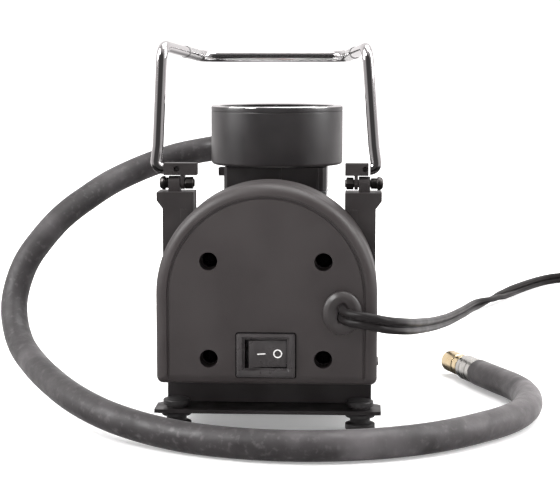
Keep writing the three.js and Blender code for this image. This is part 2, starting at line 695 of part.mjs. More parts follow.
function handleWire() {
  const wire = pipe(wirePoints(), WIRE.r, 12);
  const pegs = [
    rod(1.5, -(BAR.outerLeft + 1.5), -(BAR.outerLeft - 4), 'X', [0, HINGE.y, barMidZ], 12),
    rod(1.5, BAR.outerRight - 4, BAR.outerRight + 1.5, 'X', [0, HINGE.y, barMidZ], 12),
  ];
  return join(wire, ...pegs);
}

// Clear sleeve over the grip and part of both slanting runs.
function gripSleeve() {
  const { shift, gripX, gripY, gripZ } = WIRE;
  const at = (x, y, z) => new THREE.Vector3(x + shift, y, z);
  const end = (s, word) => topCorner(s, word).lerp(at(s * (gripX + 3), gripY, gripZ), 0.56);
  const points = bentWire([
    { at: end(-1, 'left') },
    { at: at(-(gripX + 3), gripY, gripZ), radius: 9 },
    { at: at(gripX + 3, gripY, gripZ), radius: 9 },
    { at: end(1, 'right') },
  ]);
  return pipe(points, SLEEVE.r, 12, SLEEVE.bore);
}

sides.forEach(({ word, s }) => {
  part(`post_${word}`, post(s, word), BLACK_PLASTIC);
  part(`hinge_block_${word}`, hingeBlock(s, word, s < 0 ? BAR.outerLeft : BAR.outerRight), BLACK_PLASTIC);
  part(`hinge_screw_${word}`, hingeScrew(s, word), STEEL);
});
part('handle_wire', handleWire(), CHROME);
part('grip_sleeve', gripSleeve(), LENS);

// ---- air hose ----
const PORT = { x: 16, y: CYL.back + GAP, z: 101, elbow: 5.7 };
const PORT_RISE = THREE.MathUtils.degToRad(15);
const PORT_TURN = THREE.MathUtils.degToRad(35);
const elbowAt = new THREE.Vector3(PORT.x, PORT.y + PORT.elbow, PORT.z);

// Turned about +Y, then tipped up and swung to the left about the elbow.
const atElbow = (geometry) =>
  geometry.rotateX(PORT_RISE).rotateZ(PORT_TURN).translate(...elbowAt.toArray());

function outletFitting() {
  const nut = rod(5, 0, 4, 'Y', [PORT.x, PORT.y, PORT.z], 6);
  const neck = rod(2.8, 3, PORT.elbow, 'Y', [PORT.x, PORT.y, PORT.z], 16);
  const barb = atElbow(turned([[0, -2.8], [2, -2], [2.8, 0], [2.8, 4.6], [0, 4.6]], 'Y', [0, 0, 0], 16));
  return join(nut, neck, barb);
}

const FERRULE = { start: 4.9, end: 14.6 };

function outletFerrule() {
  const { start, end } = FERRULE;
  const profile = [
    [0, start], [6.3, start], [6.8, start + 0.7], [6.8, end - 0.6], [6.4, end], [0, end],
  ];
  return atElbow(turned(profile, 'Y', [0, 0, 0], 20));
}

// A point on the hose's axis, so far from the elbow.
const pastElbow = (h) => new THREE.Vector3(0, h, 0)
  .applyAxisAngle(new THREE.Vector3(1, 0, 0), PORT_RISE)
  .applyAxisAngle(new THREE.Vector3(0, 0, 1), PORT_TURN)
  .add(elbowAt)
  .toArray();

const HOSE_ROUTE = [
  pastElbow(FERRULE.end + GAP),
  pastElbow(FERRULE.end + 6),
  [-3.8, 139, 109.4],
  [-11, 147, 111.7],
  [-20, 153.6, 113.2],
  [-30.5, 158, 113.2],
  [-42, 160, 111.4],
  [-55, 158, 108.8],
  [-69, 154.5, 104.2],
  [-80, 149, 99.6],
  [-89, 142, 95],
  [-97.8, 133.5, 89],
  [-105, 126, 83.6],
  [-111.5, 119.5, 77.3],
  [-118, 112.5, 69],
  [-123, 106.5, 61],
  [-126.4, 101, 51.2],
  [-127.4, 94.5, 41],
  [-125, 86, 32],
  [-119.6, 74, 24.6],
  [-110, 57, 19.2],
  [-97.6, 35, 15.8],
  [-82.5, 11.5, 13],
  [-65.5, -6, 10],
  [-48, -17.2, 7.6],
  [-31.2, -26, 6.5],
  [-16, -32.4, 6.4],
  [0, -36.4, 6.4],
  [16, -37.6, 6.4],
  [32, -36, 6.4],
  [48, -31.8, 6.4],
  [63.8, -24.4, 6.4],
  [77.4, -14.8, 6.4],
  [89.4, -3.2, 6.4],
  [98.6, 7, 6.4],
  [106.4, 19, 6.4],
  [112, 33, 6.4],
  [114.8, 48.5, 6.4],
  [114.4, 65, 6.4],
  [110.6, 80, 6.4],
  [106, 90.5, 6.4],
  [101.8, 100.2, 6.4],
  [...CHUCK_AT, 6.4],
];

const alongChuck = (geometry) =>
  geometry.rotateZ(CHUCK_TURN).translate(CHUCK_AT[0], CHUCK_AT[1], HOSE_R + 0.05);

// Heights below are measured from the end of the hose along the fitting.
const hoseFerrule = () => alongChuck(
  turned([[0, 0.3], [6, 0.3], [6.3, 1], [6.3, 4], [5.9, 4.4], [6.3, 4.8], [6.3, 9.5], [5.9, 9.9],
    [6.3, 10.3], [6.3, 13.6], [5.4, 14.4], [0, 14.4]], 'Y', [0, 0, 0], 24));

const chuckStem = () => alongChuck(turned([
  [0, 14.7], [2.6, 14.7], [2.6, 22.6], [4.2, 22.6], [4.2, 24], [2.6, 25], [0, 25],
], 'Y', [0, 0, 0], 24));

const chuckNut = () => alongChuck(turned([
  [2.75, 15], [4.6, 15], [5.3, 15.7], [5.3, 19], [4.9, 19.4], [4.9, 20.4], [5.3, 20.8], [5.3, 31],
  [4.8, 31.6], [4.3, 31.6], [4.3, 22.2], [2.75, 22.2], [2.75, 15],
], 'Y', [0, 0, 0], 28));

const chuckSeal = () => alongChuck(
  tube(1.4, 3.9, 25.3, 27, 'Y', [0, 0, 0], 20));

part('outlet_fitting', outletFitting(), BRASS);
part('outlet_ferrule', outletFerrule(), ZINC);
part('air_hose', pipe(smooth(HOSE_ROUTE, 12), HOSE_R, 12), HOSE_RUBBER);
part('hose_ferrule', hoseFerrule(), ZINC);
part('chuck_stem', chuckStem(), BRASS);
part('chuck_nut', chuckNut(), BRASS);
part('chuck_seal', chuckSeal(), RUBBER);

// ---- twin lead and lighter plug ----
const LEAD_ROUTE = [
  [32, -4.6, 54.4],
  [32.5, -10.4, 54.2],
  [36, -16.4, 54],
  [42.9, -19, 53.4],
  [49.6, -16, 51.6],
  [55.8, -5, 49.2],
  [60.9, 20, 44.7],
  [66.7, 65, 37.2],
  [74, 125, 27.4],
  [81.6, 180, 19.1],
  [90.3, 235, 11.8],
  [100.7, 285, 7.3],
  [111, 329, 4.4],
  [120.5, 350, 3.8],
  [130, 371, 3.7],
  [147, 409, 3.7],
  [164, 440, 3.7],
  [173, 451.5, 3.7],
  [182, 459, 3.7],
  [190.5, 465.5, 3.7],
  [197.5, 473.5, 3.7],
];

const TAIL_ROUTE = [
  [290.8, 521.3, 12],
  [302, 512.5, 11.8],
  [310.8, 500, 11.2],
  [316.2, 487, 10.9],
  [318, 472.3, 10.8],
];

const leadCoil = () =>
  turned([[COIL.inner, COIL.low], [COIL.outer, COIL.low], [COIL.outer, COIL.high], [COIL.inner, COIL.high],
    [COIL.inner, COIL.low]], 'Z', [COIL.x, COIL.y, 0], 36);

// Hook-and-loop band round the coil's bundle, on the side nearest the inflator.
function coilTie() {
  const near = COIL.y - COIL.outer;
  const far = COIL.y - COIL.inner;
  const outer = box(COIL.x - 5, COIL.x + 5, near - 1.2, far + 1.4, 0.05, COIL.high + 1.2);
  const inner = box(COIL.x - 6, COIL.x + 6, near - 0.3, far + 0.6, COIL.low - 0.3, COIL.high + 0.3);
  return cut(outer, inner);
}

const plugAt = [PLUG.x, PLUG.tail, PLUG.z];
const alongPlug = (profile, segments = 28) => {
  const g = turned(profile, 'Y', [0, 0, 0], segments);
  return g.rotateZ(Math.PI).translate(...plugAt);
};

// Heights below are measured from the tail of the plug towards its tip.
const plugBoot = () => alongPlug([[0, 0], [4.6, 0], [5.4, 10], [6.4, 15], [0, 15]]);

function plugBody() {
  return alongPlug([
    [0, 15.3], [7.4, 15.3], [10.2, 18], [10.6, 24], [10.6, 44], [9.4, 46], [9.2, 48], [9.2, 66],
    [5, 66], [5, 30], [0, 30],
  ]);
}

const plugRing = () => alongPlug([
  [5.6, 66.3], [9.2, 66.3], [9.2, 71], [8.2, 74], [4.2, 74], [4.2, 71.5], [5.6, 71.5], [5.6, 66.3],
]);

const plugTip = () => alongPlug([
  [0, 60], [4.3, 60], [4.3, 69], [3.8, 70], [3.8, 77.5], [2.6, 79.5], [0, 79.5],
], 20);

function plugContact(s) {
  const blade = [
    [0, 50], [2.2, 54], [2.2, 60], [0, 64], [-1, 64], [-1, 50],
  ].map(([out, h]) => [s * (9.5 + out), -h]);
  const g = layer(blade, -2.5, 2.5);
  return g.translate(...plugAt);
}

function plugShell() {
  const slots = sides.map(({ s }) => box(...acrossX(s * 3, s * 12), -65, -49, -2.9, 2.9).translate(...plugAt));
  return cut(plugBody(), ...slots);
}

part('power_lead', pipe(smooth(LEAD_ROUTE, 10), LEAD_R, 8), CABLE_PVC);
part('lead_coil', leadCoil(), CABLE_PVC);
part('lead_tail', pipe(smooth(TAIL_ROUTE, 10), LEAD_R, 8), CABLE_PVC);
part('coil_tie', coilTie(), BLACK_PLASTIC);
part('plug_boot', plugBoot(), RUBBER);
part('plug_body', plugShell(), BLACK_PLASTIC);
part('plug_ring', plugRing(), BLACK_PLASTIC);
part('plug_tip', plugTip(), ZINC);
sides.forEach(({ word, s }) => part(`plug_contact_${word}`, plugContact(s), ZINC));

// ---- origin under the middle of the inflator, without its hose and lead ----
const MIDDLE = { x: -1.85, y: 63.3 };
inflator.position.set(-MIDDLE.x, -MIDDLE.y, 0);
const model = new THREE.Group();
model.add(inflator);

export default model;
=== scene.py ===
"""The looks of a 12 V portable tyre inflator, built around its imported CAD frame.

Sizes below are in millimetres in the pump's own coordinates: x from the middle plane, y back from the
face of the end cover, z up from the floor. at() turns them into the row frame, in metres.
"""
import math

import bmesh
import bpy
from mathutils import Matrix, Vector


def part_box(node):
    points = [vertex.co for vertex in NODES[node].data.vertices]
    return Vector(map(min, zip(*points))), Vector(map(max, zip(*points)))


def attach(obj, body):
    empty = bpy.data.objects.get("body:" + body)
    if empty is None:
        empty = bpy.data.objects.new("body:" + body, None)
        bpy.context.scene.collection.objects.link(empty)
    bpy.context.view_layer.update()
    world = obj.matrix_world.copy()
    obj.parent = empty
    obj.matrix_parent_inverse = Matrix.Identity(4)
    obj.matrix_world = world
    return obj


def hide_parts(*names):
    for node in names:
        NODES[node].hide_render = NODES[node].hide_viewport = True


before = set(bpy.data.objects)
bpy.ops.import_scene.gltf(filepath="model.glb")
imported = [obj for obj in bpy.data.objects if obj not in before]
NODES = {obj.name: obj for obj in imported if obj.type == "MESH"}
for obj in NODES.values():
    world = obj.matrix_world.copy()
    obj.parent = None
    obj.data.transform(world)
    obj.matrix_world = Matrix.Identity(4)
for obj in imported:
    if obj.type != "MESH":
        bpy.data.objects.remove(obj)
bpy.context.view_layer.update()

MM = 0.001
SIDES = (("left", -1), ("right", 1))
COVER_LOW, COVER_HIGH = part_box("end_cover")
ORIGIN = Vector(((COVER_LOW.x + COVER_HIGH.x) / 2, COVER_LOW.y, 0.0))


def at(x, y, z):
    """A point of the pump, in the row frame."""
    return ORIGIN + Vector((x, y, z)) * MM


# ---------------------------------------------------------------- driving sizes
AXIS_Z = 54.3
CASE_BACK = 111.25
HOSE_R = 6.35
LEAD_WIDE = 7.2
LEAD_THICK = 3.6
GROMMET = {"x": 31.9, "z": 53.9, "half_x": 8.15, "half_z": 9.15}
GAUGE = {"r": 30.6, "y": 87.0, "low": 109.8, "top": 137.0, "wall": 2.2}
SCALE = {"figures": 17.6, "ticks": 25.5, "ring": 25.8}
HINGE_Y = 39.0
BAR = {"left": 47.2, "right": 43.2, "z": 110.65}
WIRE = {"r": 2.45, "shift": -2.4, "foot_x": 48.6, "grip_x": 34.4, "grip_y": 105.0, "grip_z": 159.4}
WIRE_TOP = {-1: (45.0, 164.3), 1: (44.0, 163.3)}
SLEEVE = {"bore": 2.6, "r": 2.75, "start": 0.56}
FOOT = {"x": 39.5, "front": 15.0, "back": 123.0}
SWITCH = {"half_x": 12.3, "low": 26.2, "high": 44.7, "open_x": 8.85, "open_low": 30.0, "open_high": 42.2}
ROCKER = {"pivot_y": 4.0, "tilt": math.radians(9), "half": 7.9}
BOLT = {"x": 24.0, "top": 74.9, "low": 33.75, "head": 9.5}
ELBOW = {"x": 16.0, "y": 112.0, "z": 101.0, "rise": math.radians(15), "turn": math.radians(35)}
FERRULE_END = 14.6
CHUCK = {"x": 97.4, "y": 110.5, "z": 6.4, "turn": math.radians(23)}
COIL = {"x": 255.0, "y": 478.0, "inner": 32.6, "outer": 49.0, "rows": (4.9, 12.1)}
PLUG = {"x": 318.0, "y": 471.7, "z": 10.8}


def show(made):
    bpy.context.scene.collection.objects.link(made)
    return made


# ---------------------------------------------------------------- camera
def make_camera():
    data = bpy.data.cameras.new("camera")
    data.sensor_fit = "HORIZONTAL"
    data.sensor_width = 36.0
    data.lens = 100.29
    data.clip_end = 50.0
    camera = show(bpy.data.objects.new("camera", data))
    camera.location = at(39.55, -641.2, 161.0)
    camera.rotation_euler = (math.radians(82.73), 0.0, math.radians(3.0))
    bpy.context.scene.camera = camera


# ---------------------------------------------------------------- materials
def map_range(tree, value, low, high, start, end, interpolation="LINEAR"):
    """Maps a value from start..end to low..high."""
    made = tree.nodes.new("ShaderNodeMapRange")
    made.interpolation_type = interpolation
    made.inputs["From Min"].default_value = start
    made.inputs["From Max"].default_value = end
    made.inputs["To Min"].default_value = low
    made.inputs["To Max"].default_value = high
    tree.links.new(value, made.inputs["Value"])
    return made.outputs["Result"]


class Finish:
    """A Principled material with helpers that add procedural detail to it."""

    def __init__(self, name, color, roughness, metallic=0.0, **sockets):
        self.material = bpy.data.materials.new(name)
        self.material.use_nodes = True
        self.tree = self.material.node_tree
        self.bsdf = self.tree.nodes["Principled BSDF"]
        self.color = color
        self.bsdf.inputs["Base Color"].default_value = (*color, 1.0)
        self.bsdf.inputs["Roughness"].default_value = roughness
        self.bsdf.inputs["Metallic"].default_value = metallic
        for socket, value in sockets.items():
            self.bsdf.inputs[socket.replace("_", " ")].default_value = value
        self.normal = None

    def node(self, kind, **values):
        made = self.tree.nodes.new(kind)
        for key, value in values.items():
            if key in made.inputs:
                made.inputs[key].default_value = value
            else:
                setattr(made, key, value)
        return made

    def link(self, source, target):
        self.tree.links.new(source, target)

    def noise(self, scale, detail=3.0):
        """A noise value over the piece. Scale is in repeats per metre."""
        coordinates = self.node("ShaderNodeTexCoord")
        made = self.node("ShaderNodeTexNoise", Scale=scale, Detail=detail)
        self.link(coordinates.outputs["Object"], made.inputs["Vector"])
        return made.outputs["Fac"]

    def spread(self, value, low, high, start=0.35, end=0.65):
        """Maps a noise value to the range low..high."""
        return map_range(self.tree, value, low, high, start, end)

    def blend(self, other, share):
        """Blends the base colour with another one by a share from 0 to 1."""
        mix = self.node("ShaderNodeMix", data_type="RGBA")
        base = self.bsdf.inputs["Base Color"]
        if base.is_linked:
            self.link(base.links[0].from_socket, mix.inputs[6])
        else:
            mix.inputs[6].default_value = (*self.color, 1.0)
        mix.inputs[7].default_value = (*other, 1.0)
        self.link(share, mix.inputs[0])
        self.link(mix.outputs[2], base)
        return self

    def mottle(self, other, scale, start=0.4, end=0.62, detail=4.0):
        """Blends in another colour in soft patches."""
        return self.blend(other, self.spread(self.noise(scale, detail), 0.0, 1.0, start, end))

    def paint_highlight_along(self, other, axis, start, end, scale):
        """Paints a highlight: blends in a paler colour along an axis from start to end (metres), broken up
        by noise.
        """
        coordinates = self.node("ShaderNodeTexCoord")
        split = self.node("ShaderNodeSeparateXYZ")
        self.link(coordinates.outputs["Object"], split.inputs["Vector"])
        along = self.spread(split.outputs[axis], 0.0, 1.0, start, end)
        patches = self.spread(self.noise(scale, 5.0), 0.35, 1.0, 0.38, 0.6)
        share = self.node("ShaderNodeMath", operation="MULTIPLY")
        self.link(along, share.inputs[0])
        self.link(patches, share.inputs[1])
        return self.blend(other, share.outputs["Value"])

    def polish(self, low, high, scale, detail=3.0):
        """Lets the roughness drift between two values."""
        self.link(self.spread(self.noise(scale, detail), low, high), self.bsdf.inputs["Roughness"])
        return self

    def bump(self, value, depth):
        """Adds a relief of that depth in millimetres."""
        made = self.node("ShaderNodeBump", Strength=1.0, Distance=depth * MM)
        self.link(value, made.inputs["Height"])
        if self.normal:
            self.link(self.normal, made.inputs["Normal"])
        self.normal = made.outputs["Normal"]
        self.link(self.normal, self.bsdf.inputs["Normal"])
        return self

    def grain(self, scale, depth, detail=2.0):
        return self.bump(self.noise(scale, detail), depth)

    def weave(self, scale, depth):
        """Two crossing sets of fine threads."""
        coordinates = self.node("ShaderNodeTexCoord")
        for axis in ("X", "DIAGONAL"):
            self.waves(coordinates, axis, scale / 6, 1.5, depth)
        return self

    def turning(self, scale, depth, axis):
        """Fine marks in steps along an axis."""
        return self.waves(self.node("ShaderNodeTexCoord"), axis, scale, 0.6, depth)

    def waves(self, coordinates, axis, scale, distortion, depth):
        wave = self.node("ShaderNodeTexWave", bands_direction=axis, Scale=scale, Distortion=distortion,
                         Detail=1.0)
        self.link(coordinates.outputs["Object"], wave.inputs["Vector"])
        return self.bump(wave.outputs["Fac"], depth)


def cover_plastic():
    finish = Finish("cover_plastic", (0.0296, 0.0246, 0.0247), 0.46)
    finish.mottle((0.0362, 0.0305, 0.0304), 45, 0.35, 0.7).polish(0.4, 0.52, 90)
    finish.grain(1500, 0.03).grain(260, 0.02)
    return finish.material


def black_plastic():
    finish = Finish("black_plastic", (0.0235, 0.0198, 0.0199), 0.42)
    finish.mottle((0.032, 0.0275, 0.0276), 60).polish(0.34, 0.5, 110).grain(1300, 0.02)
    return finish.material


def barrel_paint():
    finish = Finish("barrel_paint", (0.017, 0.015, 0.0157), 0.36, Specular_IOR_Level=0.72)
    finish.mottle((0.023, 0.0202, 0.021), 70).polish(0.3, 0.4, 90)
    finish.grain(1800, 0.006)
    return finish.material


# A bright polished metal put on the bezel's upward faces only: a painted highlight for the reflection along
# the top of the glossy black rim.
def painted_rim_highlight():
    finish = Finish("painted_rim_highlight", (0.72, 0.71, 0.715), 0.1, 1.0)
    finish.polish(0.08, 0.14, 160)
    return finish.material


def gloss_plastic():
    finish = Finish("gloss_plastic", (0.036, 0.0327, 0.0333), 0.3)
    finish.mottle((0.042, 0.038, 0.0385), 90).polish(0.25, 0.37, 140).grain(900, 0.006)
    return finish.material


def grommet_vinyl():
    finish = Finish("grommet_vinyl", (0.028, 0.0245, 0.0245), 0.38)
    finish.mottle((0.034, 0.030, 0.030), 120).polish(0.32, 0.44, 160).grain(1200, 0.01)
    return finish.material


def black_paint():
    finish = Finish("black_paint", (0.015, 0.0128, 0.0132), 0.4)
    finish.mottle((0.022, 0.0195, 0.02), 70).polish(0.32, 0.48, 120).grain(900, 0.02)
    return finish.material


# Near-black for painted shade: the dark line of shadow round the switch's bezel.
def painted_shade_black():
    finish = Finish("painted_shade_black", (0.004, 0.0037, 0.0038), 0.85, Specular_IOR_Level=0.1)
    finish.mottle((0.006, 0.0055, 0.0056), 300).grain(1500, 0.03)
    return finish.material


def foot_rubber():
    finish = Finish("foot_rubber", (0.016, 0.0145, 0.0148), 0.5)
    finish.mottle((0.03, 0.028, 0.0285), 120, 0.45, 0.75).polish(0.42, 0.66, 200).grain(1000, 0.02)
    return finish.material


def hose_rubber():
    """Rubber cured in a cloth wrap: a fine weave, pale dust in patches, a soft sheen and a painted highlight
    over the bend on the right.
    """
    finish = Finish("hose_rubber", (0.0188, 0.0163, 0.0171), 0.42, Sheen_Weight=0.15, Sheen_Roughness=0.35)
    finish.mottle((0.030, 0.0266, 0.0277), 55, 0.35, 0.7)
    finish.mottle((0.070, 0.064, 0.066), 420, 0.55, 0.8, 6.0)
    finish.mottle((0.085, 0.078, 0.081), 26, 0.52, 0.8, 5.0)
    # painted highlight: paler towards the right, where the hose's bend catches the light
    finish.paint_highlight_along((0.16, 0.146, 0.15), "X", 0.07, 0.15, 70)
    finish.polish(0.4, 0.62, 160)
    finish.weave(4200, 0.014).grain(1000, 0.05, 4.0).grain(110, 0.1)
    return finish.material


def cable_jacket():
    finish = Finish("cable_jacket", (0.0115, 0.0102, 0.0104), 0.33, Specular_IOR_Level=0.15)
    finish.mottle((0.014, 0.0125, 0.0127), 80).polish(0.31, 0.37, 60)
    return finish.material


def strap_webbing():
    finish = Finish("strap_webbing", (0.014, 0.013, 0.013), 0.75, Sheen_Weight=0.4)
    finish.mottle((0.03, 0.028, 0.028), 500).weave(1400, 0.2).grain(2500, 0.1)
    return finish.material


def chrome():
    finish = Finish("chrome", (0.62, 0.605, 0.61), 0.07, 1.0)
    finish.polish(0.05, 0.1, 140).grain(160, 0.004)
    return finish.material


def plated(name="plated_steel", color=(0.62, 0.61, 0.58), low=0.2, high=0.38):
    finish = Finish(name, color, 0.3, 1.0)
    finish.polish(low, high, 300).grain(700, 0.002)
    return finish.material


def brass():
    finish = Finish("brass", (0.86, 0.71, 0.46), 0.3, 1.0)
    finish.mottle((0.78, 0.62, 0.38), 180).polish(0.16, 0.34, 260).grain(900, 0.006)
    return finish.material


def cast_aluminium():
    finish = Finish("cast_aluminium", (0.5, 0.51, 0.52), 0.42, 1.0)
    finish.polish(0.34, 0.5, 200).grain(800, 0.05, 4.0)
    return finish.material


def copper_windings():
    finish = Finish("copper_windings", (0.5, 0.2, 0.08), 0.35, 1.0)
    finish.mottle((0.3, 0.3, 0.31), 120).turning(900, 0.05, "X")
    return finish.material


def ferrite():
    finish = Finish("ferrite", (0.03, 0.03, 0.029), 0.75)
    finish.mottle((0.05, 0.048, 0.046), 300).grain(900, 0.05)
    return finish.material


def dial_white():
    finish = Finish("dial_white", (0.82, 0.82, 0.8), 0.5)
    finish.mottle((0.78, 0.78, 0.75), 60).grain(1200, 0.006)
    return finish.material


def print_black():
    finish = Finish("print_black", (0.015, 0.015, 0.015), 0.45)
    finish.polish(0.4, 0.55, 300)
    return finish.material


def mark_white():
    finish = Finish("mark_white", (0.68, 0.67, 0.66), 0.5)
    finish.mottle((0.5, 0.49, 0.48), 900, 0.5, 0.8)
    return finish.material


def pointer_red():
    finish = Finish("pointer_red", (0.55, 0.02, 0.012), 0.35)
    finish.polish(0.3, 0.42, 300)
    return finish.material


def clear_plastic():
    finish = Finish("clear_plastic", (0.96, 0.97, 0.97), 0.01, 0.0, Transmission_Weight=1.0, IOR=1.46)
    finish.polish(0.0, 0.02, 200)
    return finish.material


def sleeve_plastic():
    finish = Finish("sleeve_plastic", (0.97, 0.97, 0.97), 0.04, 0.0, Transmission_Weight=1.0, IOR=1.3)
    finish.polish(0.02, 0.08, 160)
    return finish.material


def piston_ptfe():
    finish = Finish("piston_ptfe", (0.55, 0.52, 0.45), 0.5)
    finish.mottle((0.48, 0.45, 0.38), 300)
    return finish.material


COVER = cover_plastic()
PLASTIC = black_plastic()
GLOSS = gloss_plastic()
BARREL = barrel_paint()
RIM_HIGHLIGHT = painted_rim_highlight()
VINYL = grommet_vinyl()
WEBBING = strap_webbing()
PAINT = black_paint()
PAINTED_SHADE = painted_shade_black()
RUBBER = foot_rubber()
HOSE = hose_rubber()
CABLE = cable_jacket()
CHROME = chrome()
ZINC = plated()
STEEL = plated("steel", (0.42, 0.42, 0.43), 0.28, 0.45)
MATT_ZINC = plated("matt_zinc", (0.4, 0.39, 0.375), 0.42, 0.5)
DARK_STEEL = plated("dark_steel", (0.08, 0.075, 0.073), 0.28, 0.45)
BLACK_OXIDE = plated("black_oxide", (0.022, 0.021, 0.022), 0.4, 0.55)
BRASS = brass()
ALUMINIUM = cast_aluminium()
COPPER = copper_windings()
FERRITE = ferrite()
DIAL = dial_white()
PRINT = print_black()
MARK = mark_white()
RED = pointer_red()
CLEAR = clear_plastic()
SLEEVE_CLEAR = sleeve_plastic()
PTFE = piston_ptfe()


# ---------------------------------------------------------------- mesh helpers
def finish_mesh(name, mesh_data, material, stands_for=(), sharp=35.0, body="frame"):
    """Turns a bmesh into a shown piece that rides on a body and stands for CAD nodes of it."""
    bmesh.ops.remove_doubles(mesh_data, verts=mesh_data.verts, dist=1e-7)
    bmesh.ops.recalc_face_normals(mesh_data, faces=mesh_data.faces)
    mesh = bpy.data.meshes.new(name)
    mesh_data.to_mesh(mesh)
    mesh_data.free()
    mesh.materials.append(material)
    mesh.shade_smooth()
    mesh.set_sharp_from_angle(angle=math.radians(sharp))
    piece = show(bpy.data.objects.new(name, mesh))
    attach(piece, body)
    if stands_for:
        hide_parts(*stands_for)
    return piece


AXES = {
    "Z": Matrix.Identity(4),
    "Y": Matrix.Rotation(-math.pi / 2, 4, "X"),
    "X": Matrix.Rotation(math.pi / 2, 4, "Y"),
    "-X": Matrix.Rotation(-math.pi / 2, 4, "Y"),
    "-Y": Matrix.Rotation(math.pi / 2, 4, "X"),
}


def place(axis, x, y, z, tilt=None):
    """Local millimetres with height along Z to the row frame, with height along an axis."""
    turn = tilt @ AXES[axis] if tilt else AXES[axis]
    return Matrix.Translation(at(x, y, z)) @ turn @ Matrix.Scale(MM, 4)


def join_rings(mesh_data, rings):
    """Quads from each ring of vertices to the next."""
    for first, second in zip(rings, rings[1:]):
        for k in range(len(first)):
            j = (k + 1) % len(first)
            mesh_data.faces.new((first[k], first[j], second[j], second[k]))


def add_turned(mesh_data, profile, where, segments=72):
    """A turned body: (radius, height) pairs, starting and ending on the axis or closing on themselves."""
    rings = []
    for radius, height in profile:
        if radius < 1e-6:
            rings.append([mesh_data.verts.new(where @ Vector((0, 0, height)))])
            continue
        ring = []
        for i in range(segments):
            a = 2 * math.pi * i / segments
            point = Vector((radius * math.cos(a), radius * math.sin(a), height))
            ring.append(mesh_data.verts.new(where @ point))
        rings.append(ring)
    for first, second in zip(rings, rings[1:]):
        for i in range(segments):
            j = (i + 1) % segments
            corners = [first[i % len(first)], first[j % len(first)],
                       second[j % len(second)], second[i % len(second)]]
            unique = list(dict.fromkeys(corners))
            if len(unique) > 2:
                mesh_data.faces.new(unique)


def turned(name, profile, where, material, stands_for=(), segments=72, body="frame"):
    mesh_data = bmesh.new()
    add_turned(mesh_data, profile, where, segments)
    return finish_mesh(name, mesh_data, material, stands_for, body=body)


def rounded(profile, radius, steps=4):
    """A closed-off profile whose inner corners are rounded by one radius."""
    points = [Vector(p) for p in profile]
    result = [points[0]]
    for before, corner, after in zip(points, points[1:], points[2:]):
        back = before - corner
        ahead = after - corner
        reach = min(radius, 0.45 * back.length, 0.45 * ahead.length)
        start = corner + back.normalized() * reach
        end = corner + ahead.normalized() * reach
        for k in range(steps + 1):
            t = k / steps
            result.append(start * (1 - t) ** 2 + corner * 2 * t * (1 - t) + end * t ** 2)
    result.append(points[-1])
    return [tuple(p) for p in result]


def frames_along(points):
    """Tangent and a side direction at each point, turning as little as possible."""
    tangents = []
    for i in range(len(points)):
        tangents.append((points[min(i + 1, len(points) - 1)] - points[max(i - 1, 0)]).normalized())
    side = tangents[0].orthogonal().normalized()
    result = []
    for tangent in tangents:
        side = (side - tangent * side.dot(tangent)).normalized()
        result.append((tangent, side))
    return result


def swept_rings(mesh_data, points, sides, section):
    """A ring of vertices at each point, in metres. section holds their (side, across) offsets."""
    rings = []
    for (tangent, side), point in zip(sides, points):
        across = tangent.cross(side)
        rings.append([mesh_data.verts.new(point + side * a + across * b) for a, b in section])
    return rings


def sweep(name, points, section, sides, material, stands_for, sharp=60.0, body="frame"):
    """A closed skin of one section along points."""
    mesh_data = bmesh.new()
    rings = swept_rings(mesh_data, points, sides, section)
    join_rings(mesh_data, rings)
    mesh_data.faces.new(rings[0])
    mesh_data.faces.new(rings[-1])
    return finish_mesh(name, mesh_data, material, stands_for, sharp, body)


def ring_of(radius, count=20):
    return [(radius * math.cos(2 * math.pi * k / count), radius * math.sin(2 * math.pi * k / count))
            for k in range(count)]


def smooth_route(route, spacing):
    """Points in the row frame on a smooth curve through the route, about that many millimetres apart."""
    given = [Vector(p) for p in route]
    ends = [2 * given[0] - given[1]] + given + [2 * given[-1] - given[-2]]
    fine = []
    for a, b, c, d in zip(ends, ends[1:], ends[2:], ends[3:]):
        t1 = math.sqrt((b - a).length)
        t2 = t1 + math.sqrt((c - b).length)
        t3 = t2 + math.sqrt((d - c).length)
        steps = max(2, round((c - b).length / spacing))
        for k in range(steps):
            t = t1 + (t2 - t1) * k / steps
            ab = a * ((t1 - t) / t1) + b * (t / t1)
            bc = b * ((t2 - t) / (t2 - t1)) + c * ((t - t1) / (t2 - t1))
            cd = c * ((t3 - t) / (t3 - t2)) + d * ((t - t2) / (t3 - t2))
            left = ab * ((t2 - t) / t2) + bc * (t / t2)
            right = bc * ((t3 - t) / (t3 - t1)) + cd * ((t - t1) / (t3 - t1))
            fine.append(left * ((t2 - t) / (t2 - t1)) + right * ((t - t1) / (t2 - t1)))
    fine.append(given[-1])
    return [at(*p) for p in fine]


# ---------------------------------------------------------------- cords
ELBOW_TILT = Matrix.Rotation(ELBOW["turn"], 4, "Z") @ Matrix.Rotation(ELBOW["rise"], 4, "X")
CHUCK_TILT = Matrix.Rotation(CHUCK["turn"], 4, "Z")


def past_elbow(distance):
    """A point on the hose's axis, that far from the middle of the outlet elbow."""
    along = ELBOW_TILT @ Vector((0, distance, 0))
    return (ELBOW["x"] + along.x, ELBOW["y"] + along.y, ELBOW["z"] + along.z)


